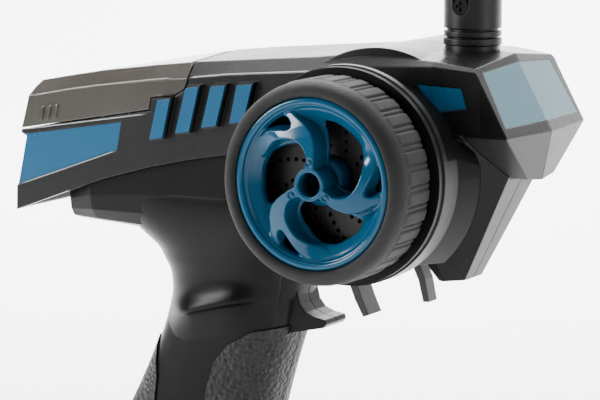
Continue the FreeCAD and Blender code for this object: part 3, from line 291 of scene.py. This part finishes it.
# ---------------------------------------------------------------- steering wheel
# A rim moulded in blue nylon with a glossy skin: three swept spokes run from a hollow centre ring
# to the lip, each forks into a thorn and a long blade, and they leave three comma windows.
# Sizes here are millimetres about the wheel's axis: reach from it, and depth back from the lip.
MM = 0.001
wheel_low, wheel_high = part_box("wheel_hub")
AXIS_X = (wheel_low[0] + wheel_high[0]) / 2
AXIS_Z = (wheel_low[2] + wheel_high[2]) / 2
LIP_Y = -0.0644
SPOKES = 3
# Closed outlines for one spoke as (degrees turned on from its rivet, reach).
SPOKE_TOP = [(-20, 4.3), (-17, 6.0), (-12.5, 8.0), (-10, 10.0), (-5.5, 12.5), (-1, 14.5), (5.5, 16.5),
             (10, 17.7), (15.5, 19.3), (19, 20.6), (23.5, 21.0), (26, 20.2), (24, 18.8), (23.4, 17.4),
             (26.5, 16.6), (34.5, 17.7), (42.5, 19.3), (49, 20.4), (56, 21.0), (64, 21.2), (74, 20.2),
             (68, 17.6), (57, 16.6), (48, 15.8), (41, 15.0), (33, 13.9), (25, 12.7), (19, 11.4),
             (13.5, 9.7), (10.5, 8.2), (11, 6.8), (16, 5.4), (20, 4.3)]
WINDOW = [(20, 7.0), (18, 8.4), (20, 10.0), (26, 11.2), (34, 12.3), (42, 13.3), (50, 14.6), (58, 15.9),
          (66, 16.8), (80, 17.4), (97, 17.5), (107, 17.5), (113, 17.1), (114.5, 15.9), (111, 14.0),
          (107, 11.6), (104, 9.6), (101, 7.6), (94, 5.9), (80, 5.2), (60, 5.1), (40, 5.2), (27, 5.8)]
SLIT = [(27.2, 17.6), (26.6, 18.6), (28.4, 20.3), (33, 20.7), (40, 20.8), (47, 20.85), (45.5, 20.5),
        (40, 19.6), (34, 18.4), (29.5, 17.6)]


def outline(turns_and_reaches, spoke, each=6):
    """A closed smooth curve through points given as (degrees, reach), as an array of (x, z) in mm.

    Between two of them it is the cubic whose end slopes are half the chord of the neighbours."""
    knots = np.array(turns_and_reaches, float)
    angle = np.radians(90.0 + knots[:, 0] + 360.0 / SPOKES * spoke)
    knots = np.stack([knots[:, 1] * np.cos(angle), knots[:, 1] * np.sin(angle)], 1)
    before, after, beyond = np.roll(knots, 1, 0), np.roll(knots, -1, 0), np.roll(knots, -2, 0)
    t = (np.arange(each) / each)[None, :, None]
    p0, p1, p2, p3 = (k[:, None, :] for k in (before, knots, after, beyond))
    curve = 0.5 * (2 * p1 + (p2 - p0) * t + (2 * p0 - 5 * p1 + 4 * p2 - p3) * t ** 2
                   + (3 * p1 - p0 - 3 * p2 + p3) * t ** 3)
    return curve.reshape(-1, 2)


def measure(points, curve):
    """How far each point lies inside a closed curve (outside is negative), and its nearest place on it.

    The distance is the least over the curve's chords, and the sign is that of the winding count."""
    start, end = curve, np.roll(curve, -1, 0)
    chord = end - start
    share = ((points[:, None, :] - start) * chord).sum(2) / (chord ** 2).sum(1)
    foot = start + np.clip(share, 0, 1)[..., None] * chord
    gap = np.hypot(*np.moveaxis(points[:, None, :] - foot, 2, 0))
    nearest = gap.argmin(1)
    pick = np.arange(len(points))
    x, z = points[:, 0:1], points[:, 1:2]
    crosses = (start[:, 1] > z) != (end[:, 1] > z)
    with np.errstate(divide="ignore", invalid="ignore"):
        at_x = start[:, 0] + (z - start[:, 1]) / chord[:, 1] * chord[:, 0]
    inside = (crosses & (x < at_x)).sum(1) % 2 == 1
    return np.where(inside, 1, -1) * gap[pick, nearest], foot[pick, nearest]


def spin(name, profile, columns):
    """A ring turned about the wheel's axis: a closed profile of (reach, depth) in mm, swept round it."""
    profile = np.array(profile, float)
    angle = np.linspace(0, 2 * math.pi, columns, endpoint=False)
    points = np.zeros((len(profile), columns, 3))
    points[..., 0] = AXIS_X + profile[:, :1] * MM * np.cos(angle)
    points[..., 1] = LIP_Y + profile[:, 1:] * MM
    points[..., 2] = AXIS_Z + profile[:, :1] * MM * np.sin(angle)
    return surface(name, points, closed_u=True, closed_v=True)


def filleted(corners, radius, steps=4):
    """A closed profile with each corner replaced by a quadratic arc that starts radius short of it."""
    corners = np.array(corners, float)
    out = []
    for i in range(len(corners)):
        here, last, ahead = corners[i], corners[i - 1], corners[(i + 1) % len(corners)]
        back, forth = last - here, ahead - here
        trim = min(radius, np.hypot(*back) * 0.45, np.hypot(*forth) * 0.45)
        a, b = here + back / np.hypot(*back) * trim, here + forth / np.hypot(*forth) * trim
        for t in np.linspace(0, 1, steps):
            out.append((1 - t) ** 2 * a + 2 * t * (1 - t) * here + t ** 2 * b)
    return np.array(out)


def smooth_step(value):
    """0 below 0, 1 above 1, and a smooth S between."""
    value = np.clip(value, 0, 1)
    return value * value * (3 - 2 * value)


def spoke_plate(name, hole=3.3, edge=22.0, floor=6.6, lip=0.45):
    """The wheel's disc as a closed solid over a polar grid.

    The front is the bowl's depth, and rises to the spokes' tops across a wall 0.9 mm wide at
    their outline. It rounds off at the openings over a quarter circle of radius lip. The back
    is flat at floor. Grid points next to an opening are moved onto its outline."""
    reach = np.concatenate([np.linspace(hole, 8.2, 27), np.linspace(8.2, edge, 54)[1:]])
    angle = np.radians(np.arange(0, 360, 0.9))
    rows, columns = len(reach), len(angle)
    grid = np.stack([np.outer(reach, np.cos(angle)), np.outer(reach, np.sin(angle))], -1).reshape(-1, 2)
    top = np.full(len(grid), -99.0)
    opening, foot, blade = np.full(len(grid), -99.0), grid.copy(), np.zeros(len(grid))
    turn = np.degrees(np.arctan2(grid[:, 1], grid[:, 0]))
    for spoke in range(SPOKES):
        within, _ = measure(grid, outline(SPOKE_TOP, spoke))
        blade = np.where(within > top, (turn - 90.0 - 120.0 * spoke) % 360.0, blade)
        top = np.maximum(top, within)
        for hollow in (WINDOW, SLIT):
            depth_in, near = measure(grid, outline(hollow, spoke))
            foot = np.where((depth_in > opening)[:, None], near, foot)
            opening = np.maximum(opening, depth_in)
    top = np.maximum(top, 4.9 - np.hypot(*grid.T))
    i, j = np.meshgrid(np.arange(rows - 1), np.arange(columns), indexing="ij")
    j2 = (j + 1) % columns
    quads = np.stack([i * columns + j, (i + 1) * columns + j, (i + 1) * columns + j2, i * columns + j2], -1)
    quads = quads.reshape(-1, 4)
    quads = quads[opening[quads].mean(1) < 0]
    edges = np.sort(np.stack([quads, np.roll(quads, -1, 1)], -1).reshape(-1, 2), 1)
    pairs, count = np.unique(edges, axis=0, return_counts=True)
    rim_points = np.unique(pairs[count == 1])
    rim_points = rim_points[(rim_points >= columns) & (rim_points < (rows - 1) * columns)]
    grid[rim_points] = foot[rim_points]
    opening[rim_points] = 0.0
    far = np.hypot(*grid.T)
    bowl = np.interp(far, [3, 14, 16, 17.2, 18.5, 19.8, 20.8, 21.1, 21.3, 22.4],
                     [5.6, 5.6, 5.3, 4.6, 3.5, 2.6, 2.1, 1.9, 1.15, 1.1])
    crest = np.interp(far, [3, 7, 10, 13, 16, 18, 20, 21.5], [-0.95, -0.95, -0.7, -0.3, 0.3, 0.9, 1.5, 2.0])
    tail = np.where(blade < 180, smooth_step((blade - 38) / 42), 0.0) * smooth_step((far - 8) / 4)
    crest = crest + tail * (bowl - crest)
    depth = bowl + np.minimum(crest - bowl, 0) * smooth_step(top / 0.9 + 0.5)
    close = np.clip(lip + opening, 0, lip)
    depth += np.where(opening > -lip, lip - np.sqrt(np.maximum(lip ** 2 - close ** 2, 0)), 0)
    inner = np.clip(lip + hole - far, 0, lip)
    depth += lip - np.sqrt(np.maximum(lip ** 2 - inner ** 2, 0))
    for spoke in range(SPOKES):
        side = math.radians(90 + 120 * spoke)
        away = np.hypot(grid[:, 0] - 6.2 * math.cos(side), grid[:, 1] - 6.2 * math.sin(side))
        depth += 0.45 * np.exp(-((away - 0.85) / 0.22) ** 2) - 0.2 * np.exp(-(away / 0.5) ** 2)
    used, quads = np.unique(quads, return_inverse=True)
    quads = quads.reshape(-1, 4)
    front = np.stack([AXIS_X + grid[used, 0] * MM, LIP_Y + depth[used] * MM, AXIS_Z + grid[used, 1] * MM], 1)
    back = front.copy()
    back[:, 1] = LIP_Y + floor * MM
    edges = np.stack([quads, np.roll(quads, -1, 1)], -1).reshape(-1, 2)
    key = np.sort(edges, 1)
    _, first, count = np.unique(key, axis=0, return_index=True, return_counts=True)
    a, b = edges[first[count == 1]].T
    n = len(used)
    skirt = np.stack([b, a, a + n, b + n], 1)
    faces = np.concatenate([quads[:, ::-1], quads + n, skirt[:, ::-1]])[:, ::-1]
    return solid(name, np.concatenate([front, back]), faces.tolist())


def joined(name, *things):
    """One object made of several meshes."""
    whole = bmesh.new()
    for thing in things:
        whole.from_mesh(thing.data)
        bpy.data.objects.remove(thing)
    mesh = bpy.data.meshes.new(name)
    whole.to_mesh(mesh)
    whole.free()
    return shown(name, mesh)


wheel_blue = moulded_plastic("wheel_blue", (0.0015, 0.045, 0.095), (0.002, 0.056, 0.115),
                             (0.12, 0.18), 1200.0, 0.000002, coat=0.08, shine=0.25)
BARREL = [(21.6, 1.3), (21.8, 0.35), (22.3, 0.0), (23.3, 0.05), (23.8, 0.7), (23.8, 15.4), (22.4, 15.4),
          (21.6, 7.5)]
BOSS = [(3.3, 6.4), (6.6, 6.4), (6.9, 15.0), (3.02, 15.0), (3.02, 9.4), (3.3, 9.2)]
plate = spoke_plate("spoke_plate")
barrel = spin("barrel", filleted(BARREL, 0.5), 200)
boss = spin("boss", BOSS, 64)
wheel_rim = joined("wheel_rim", plate, barrel, boss)
wheel_rim.data.materials.append(wheel_blue)
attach(wheel_rim, "steering_wheel")
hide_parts("wheel_hub")

# ---------------------------------------------------------------- pod and black mouldings
# The pod that carries the wheel is a smooth black moulding, fixed to the head's right side. The
# trigger, the disc, the panel and the aerial are satin black nylon.
pod_black = moulded_plastic("pod_black", (0.0035, 0.0035, 0.0037), (0.0055, 0.0055, 0.0058),
                            (0.3, 0.4), 2000.0, 0.000006, shine=0.1, edge=0.0004)
dress(pod_black, "wheel_pod")
black = moulded_plastic("satin_black", (0.0045, 0.0045, 0.0047), (0.007, 0.007, 0.0073),
                        (0.3, 0.42), 2000.0, 0.00001, shine=0.3, edge=0.0004)
dress(black, "trigger_lever", "brake_disc_insert", "control_panel", "antenna_collar", "antenna_swivel",
      "antenna_mast")

# ---------------------------------------------------------------- rubber pads
# Soft rubber pads glued into the grip's recesses, moulded with a leathery pebble about 1.5 mm
# across, and the four feet under the base in the same rubber.
def pebble(material, scale, height):
    """Adds rounded pebbles to a material's bump: Voronoi cells that fall away towards their edges."""
    tree = material.node_tree
    shader = tree.nodes["Principled BSDF"]
    place = tree.nodes.new("ShaderNodeTexCoord")
    cells = tree.nodes.new("ShaderNodeTexVoronoi")
    cells.inputs["Scale"].default_value = scale
    cells.inputs["Randomness"].default_value = 0.9
    tree.links.new(place.outputs["Object"], cells.inputs["Vector"])
    dome = ranged(tree, cells.outputs["Distance"], 1.0, 0.0, 0.15, 0.75)
    under = shader.inputs["Normal"].links[0].from_socket
    tree.links.new(bumped(tree, dome, height, under=under), shader.inputs["Normal"])


pebbled = moulded_plastic("pebbled_rubber", (0.004, 0.004, 0.0042), (0.0075, 0.0075, 0.0078),
                          (0.45, 0.65), 700.0, 0.0004, shine=0.3)
pebble(pebbled, 620.0, 0.00035)
dress(pebbled, "grip_pad_right", "grip_pad_left", "palm_pad", "rubber_feet")

# ---------------------------------------------------------------- tyre
# A moulded foam-rubber tyre pushed onto the rim: a speckled side wall that rounds over into a
# tread of flat blocks, parted by paired grooves with a thin bar between them.
TREAD_BARS = 32
tyre_low, tyre_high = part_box("foam_tyre")
TYRE_REACH = (tyre_high[2] - tyre_low[2]) / 2 / MM
TYRE_FRONT = tyre_low[1] / MM
TYRE_BACK = tyre_high[1] / MM


def treaded_tyre(name, each=22):
    """A closed ring: the tyre's section swept round the axis, with its outer band pressed in.

    Round each bar the reach drops by a pair of grooves, each a bell of 0.32 mm either side of 0.75 mm
    from the bar's middle. The grooves start behind the shoulder and run out of the back edge."""
    section = [(23.9, TYRE_FRONT + 1.2), (24.3, TYRE_FRONT + 0.35), (25.0, TYRE_FRONT + 0.02)]
    section += [(25.0 + 3.2 * math.sin(t), TYRE_FRONT + 4.6 * (1 - math.cos(t)))
                for t in np.linspace(0.08, math.pi / 2, 13)]
    front = TYRE_FRONT + 4.6
    section += [(TYRE_REACH - 0.3 + 0.3 * smooth_step((y - front) / 1.2), y)
                for y in np.linspace(front + 0.3, TYRE_BACK - 0.9, 22)]
    section += [(TYRE_REACH - 0.9 + 0.9 * math.cos(t), TYRE_BACK - 0.9 + 0.9 * math.sin(t))
                for t in np.linspace(0.3, math.pi / 2, 5)]
    section += [(23.9, TYRE_BACK)]
    section = np.array(section, float)
    columns = TREAD_BARS * each
    angle = np.linspace(0, 2 * math.pi, columns, endpoint=False)
    along = (np.arange(columns) / each + 0.5) % 1 - 0.5
    from_bar = np.abs(along) * 2 * math.pi * TYRE_REACH / TREAD_BARS
    groove = np.exp(-((from_bar - 0.8) / 0.34) ** 2)
    tread = smooth_step((section[:, 1] - front - 0.2) / 1.1) * (section[:, 0] > 26)
    block = smooth_step((from_bar - 0.9) / 0.5) * smooth_step((section[:, 1] - front + 1.2)[:, None] / 0.9)
    reach = section[:, :1] - 0.42 * groove[None, :] * tread[:, None] + 0.16 * (block - 1) * tread[:, None]
    wave = 0.05 * np.sin(11 * angle) * np.sin(3 * angle + 1)
    reach = reach + wave[None, :] * (section[:, :1] > 26)
    points = np.zeros((len(section), columns, 3))
    points[..., 0] = AXIS_X + reach * MM * np.cos(angle)
    points[..., 1] = section[:, 1:] * MM
    points[..., 2] = AXIS_Z + reach * MM * np.sin(angle)
    return surface(name, points, closed_u=True, closed_v=True)


tyre = treaded_tyre("tread_tyre")
foam = moulded_plastic("tyre_foam", (0.0055, 0.0055, 0.0057), (0.021, 0.021, 0.0205), (0.7, 0.85),
                       900.0, 0.00012, shine=0.25)
tyre.data.materials.append(foam)
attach(tyre, "steering_wheel")
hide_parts("foam_tyre")

# ---------------------------------------------------------------- grip throat
# Where the grip runs up into the deck its sides flare out in one sweep, and below the thumb they
# carry a soft ridge that climbs forward: all one moulding with the grip halves.
# Rows are height, back, front and half width in mm, and how square the section is.
THROAT = np.array([
    (96.0, -21.9, 22.0, 14.6, 2.5), (100.0, -20.3, 24.0, 15.1, 2.5), (106.0, -18.4, 26.0, 15.65, 2.5),
    (110.5, -17.0, 27.2, 16.2, 2.5), (115.0, -15.9, 28.4, 16.75, 2.5), (118.5, -15.8, 29.0, 17.5, 2.5),
    (122.0, -16.0, 29.6, 18.3, 2.6), (125.5, -17.4, 31.0, 19.5, 2.7), (129.0, -19.0, 33.0, 20.8, 2.8),
    (132.5, -22.6, 36.0, 22.2, 3.0), (136.0, -26.1, 39.0, 23.6, 3.3), (139.0, -28.5, 42.0, 24.6, 3.6),
    (142.0, -30.0, 45.0, 25.12, 4.0), (144.5, -30.5, 46.0, 25.2, 4.2), (147.0, -30.0, 46.0, 25.0, 4.2),
    (150.0, -28.0, 44.0, 24.0, 4.0),
])
RIDGE_BACK = (-14.5, 106.2)
RIDGE_FRONT = (28.0, 116.9)
RIDGE_OVER = [-9.5, -6.0, -3.0, -1.4, -0.7, -0.2, 0.3, 0.9, 2.2, 4.5, 7.0, 10.0, 15.0]
RIDGE_HEIGHT = [0.0, 0.7, 1.7, 2.4, 2.75, 3.2, 3.45, 3.35, 2.85, 1.75, 0.85, 0.25, 0.0]


def smoothed(at, places, values):
    """The cubic through the values whose slope at each place is the chord of its neighbours."""
    places, values = np.asarray(places, float), np.asarray(values, float)
    slope = np.gradient(values, places)
    at = np.clip(at, places[0], places[-1])
    k = np.clip(np.searchsorted(places, at) - 1, 0, len(places) - 2)
    gap = places[k + 1] - places[k]
    t = (at - places[k]) / gap
    return ((2 * t ** 3 - 3 * t ** 2 + 1) * values[k] + (t ** 3 - 2 * t ** 2 + t) * gap * slope[k]
            + (3 * t ** 2 - 2 * t ** 3) * values[k + 1] + (t ** 3 - t ** 2) * gap * slope[k + 1])


def throat_skin(name, side, wall=1.2, columns=90):
    """One side of a loft of rounded oblongs |x|^n + |y|^n = 1 stretched to each row of THROAT.

    It stands out by the ridge's height, which follows a curve over the distance above the ridge's
    line and fades at its two ends. The section closes through an inner face that lies wall deeper,
    and the lowest and highest rows lie inside the grip."""
    z = np.concatenate([np.arange(96, 104, 1.0), np.arange(104, 122, 0.3), np.arange(122, 150.1, 0.7)])
    back, front, half, square = (smoothed(z, THROAT[:, 0], THROAT[:, k])[:, None] for k in (1, 2, 3, 4))
    angle = np.linspace(0.2 * math.pi, 0.93 * math.pi, columns)[None, :]
    forth = np.sign(np.cos(angle)) * np.abs(np.cos(angle)) ** (2 / square)
    x = (back + front) / 2 + (front - back) / 2 * forth
    along = (x - RIDGE_BACK[0]) / (RIDGE_FRONT[0] - RIDGE_BACK[0])
    line = RIDGE_BACK[1] + (RIDGE_FRONT[1] - RIDGE_BACK[1]) * along
    over = z[:, None] - line - 1.6 * np.sin(math.pi * np.clip(along, 0, 1))
    fade = smooth_step(along / 0.3) * smooth_step((1 - along) / 0.35)
    ridge = smoothed(over, RIDGE_OVER, RIDGE_HEIGHT) * fade
    out = half * np.sin(angle) ** (2 / square) + ridge
    points = np.zeros((len(z), 2 * columns, 3))
    points[..., 0] = np.concatenate([x, x[:, ::-1]], 1) * MM
    points[..., 1] = side * np.concatenate([out, out[:, ::-1] - wall], 1) * MM
    points[..., 2] = z[:, None] * MM
    return surface(name, points, closed_v=True, capped=True, flip=side > 0)


HANDS = {"right": -1, "left": 1}
for hand, side in HANDS.items():
    throat = throat_skin("grip_throat_" + hand, side)
    # The throat takes the grip's darker copy of the charcoal, which is painted shade.
    throat.data.materials.append(grip_painted_shade)
    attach(throat, "case")

# ---------------------------------------------------------------- smoked lid
# A smoked polycarbonate hatch over the control panel, hinged at its front edge; it is dark enough
# that the knobs below show only as dim shapes.
FLANK = 27.62


def bead(name, path, radius, around=8):
    """A tube carried along a path in mm, drawn to a point and capped at both ends."""
    run = np.gradient(path, axis=0)
    run /= np.linalg.norm(run, axis=1)[:, None]
    side = np.cross(run, (0.0, 0.0, 1.0))
    side /= np.linalg.norm(side, axis=1)[:, None]
    lift = np.cross(side, run)
    angle = np.linspace(0, 2 * math.pi, around, endpoint=False)
    size = np.full(len(path), radius)
    size[[0, -1]] = 0.01
    ring = side[:, None] * np.cos(angle)[None, :, None] + lift[:, None] * np.sin(angle)[None, :, None]
    return surface(name, (path[:, None] + ring * size[:, None, None]) * MM, closed_v=True, capped=True)


def crease(name, corners, material, body, radius=0.3):
    """A pair of beads through (x, z) corners in mm, one on each flank of the head, as one piece."""
    corners = np.array(corners)
    stops = np.linspace(0, len(corners) - 1, 8 * len(corners))
    x, z = (np.interp(stops, np.arange(len(corners)), corners[:, k]) for k in (0, 1))
    pair = [bead(name + "_" + hand, np.stack([x, np.full(len(x), side * FLANK), z], 1), radius)
            for hand, side in HANDS.items()]
    pair = joined(name, *pair)
    pair.data.materials.append(material)
    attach(pair, body)


smoked = moulded_plastic("smoked_polycarbonate", (0.060, 0.053, 0.043), (0.078, 0.070, 0.058),
                         (0.12, 0.2), 500.0, 0.000004, shine=0.45, edge=0.0005)
smoked_shader = smoked.node_tree.nodes["Principled BSDF"]
smoked_shader.inputs["Transmission Weight"].default_value = 0.42
smoked_shader.inputs["IOR"].default_value = 1.5
dress(smoked, "rear_lid")
crease("lid_crease", [(-52.0, 173.9), (-38.6, 176.6), (-27.6, 178.4), (-9.7, 180.9), (-2.5, 181.75)], smoked,
       "lid")

# ---------------------------------------------------------------- rolled edges of the head, with painted highlights
# Where the head's flank meets its sloping shoulder, its ledge and its inlay, the mould leaves a
# fine rolled edge; its pale grey is a painted highlight, bright along its length.
# Pale grey far above the head's charcoal: a painted highlight along the edges.
highlight_paint = moulded_plastic("painted_highlight_edge", (0.10, 0.10, 0.10), (0.16, 0.16, 0.158), (0.12, 0.2), 900.0,
                           0.000002, shine=0.8)
crease("head_crease", [(4.6, 182.45), (17.4, 184.0), (33.0, 185.3), (45.0, 186.3), (60.0, 188.6)], highlight_paint,
       "case")
crease("ledge_edge", [(-54.6, 163.7), (-32.0, 167.4), (-10.6, 170.9)], highlight_paint, "case",
       0.22)
crease("panel_edge", [(-56.6, 146.75), (-39.0, 153.0), (-21.7, 159.2)], highlight_paint, "case",
       0.18)

# ---------------------------------------------------------------- knobs and switches
# Trims, dial and switch caps are moulded in grey ABS with a satin face and pressed onto their
# shafts; the lamps beside them are clear red lenses.
cap_grey = moulded_plastic("cap_grey", (0.030, 0.031, 0.033), (0.042, 0.043, 0.045), (0.32, 0.45),
                           1500.0, 0.00001, shine=0.3, edge=0.0003)
dress(cap_grey, "steering_trim_knob", "throttle_trim_knob", "rate_knob", "reverse_switch_right",
      "reverse_switch_left", "power_switch", "bind_button")
lens = moulded_plastic("lens_red", (0.35, 0.01, 0.008), (0.45, 0.014, 0.01), (0.12, 0.2), 900.0, 0.000002,
                       shine=0.5)
dress(lens, "indicator_leds")

# ---------------------------------------------------------------- works inside
# Brackets, sensors and the battery tray are grey nylon, the boards are green laminate, and the
# cells wear a shrunk sleeve.
nylon = moulded_plastic("works_nylon", (0.018, 0.018, 0.019), (0.03, 0.03, 0.031), (0.4, 0.55), 1200.0,
                        0.00002)
dress(nylon, "battery_tray", "trigger_bracket", "sensor_bracket", "steering_sensor", "trigger_sensor")
laminate = moulded_plastic("board_laminate", (0.006, 0.060, 0.022), (0.010, 0.085, 0.032), (0.25, 0.4),
                           900.0, 0.00003)
dress(laminate, "control_pcb", "main_pcb")
sleeve = moulded_plastic("cell_sleeve", (0.03, 0.05, 0.06), (0.045, 0.07, 0.085), (0.25, 0.4), 700.0,
                         0.00002)
dress(sleeve, "battery_cells")


# ---------------------------------------------------------------- metal parts
# Screws are blackened steel, shafts and pins ground steel, springs drawn wire, the bush sintered
# brass, and the contacts and the radio's can are plated.
def metal(name, dark, light, gloss, grain, depth):
    """A moulded_plastic made metallic."""
    material = moulded_plastic(name, dark, light, gloss, grain, depth, shine=0.5)
    material.node_tree.nodes["Principled BSDF"].inputs["Metallic"].default_value = 1.0
    return material


dress(metal("blackened_steel", (0.012, 0.012, 0.013), (0.022, 0.022, 0.023), (0.3, 0.42), 1500.0, 0.00001),
      "housing_screws", "base_screws", "antenna_pivot_screw", "wheel_screw")
dress(metal("ground_steel", (0.32, 0.32, 0.33), (0.42, 0.42, 0.43), (0.2, 0.32), 1800.0, 0.000008),
      "wheel_shaft", "trigger_shaft", "lid_hinge_pins", "steering_spring", "trigger_spring")
dress(metal("sintered_brass", (0.33, 0.2, 0.06), (0.45, 0.29, 0.1), (0.35, 0.5), 1100.0, 0.00002),
      "shaft_bush")
dress(metal("plated_sheet", (0.35, 0.35, 0.34), (0.48, 0.48, 0.46), (0.22, 0.35), 1300.0, 0.00001),
      "battery_contacts", "rf_module")

bpy.context.view_layer.update()
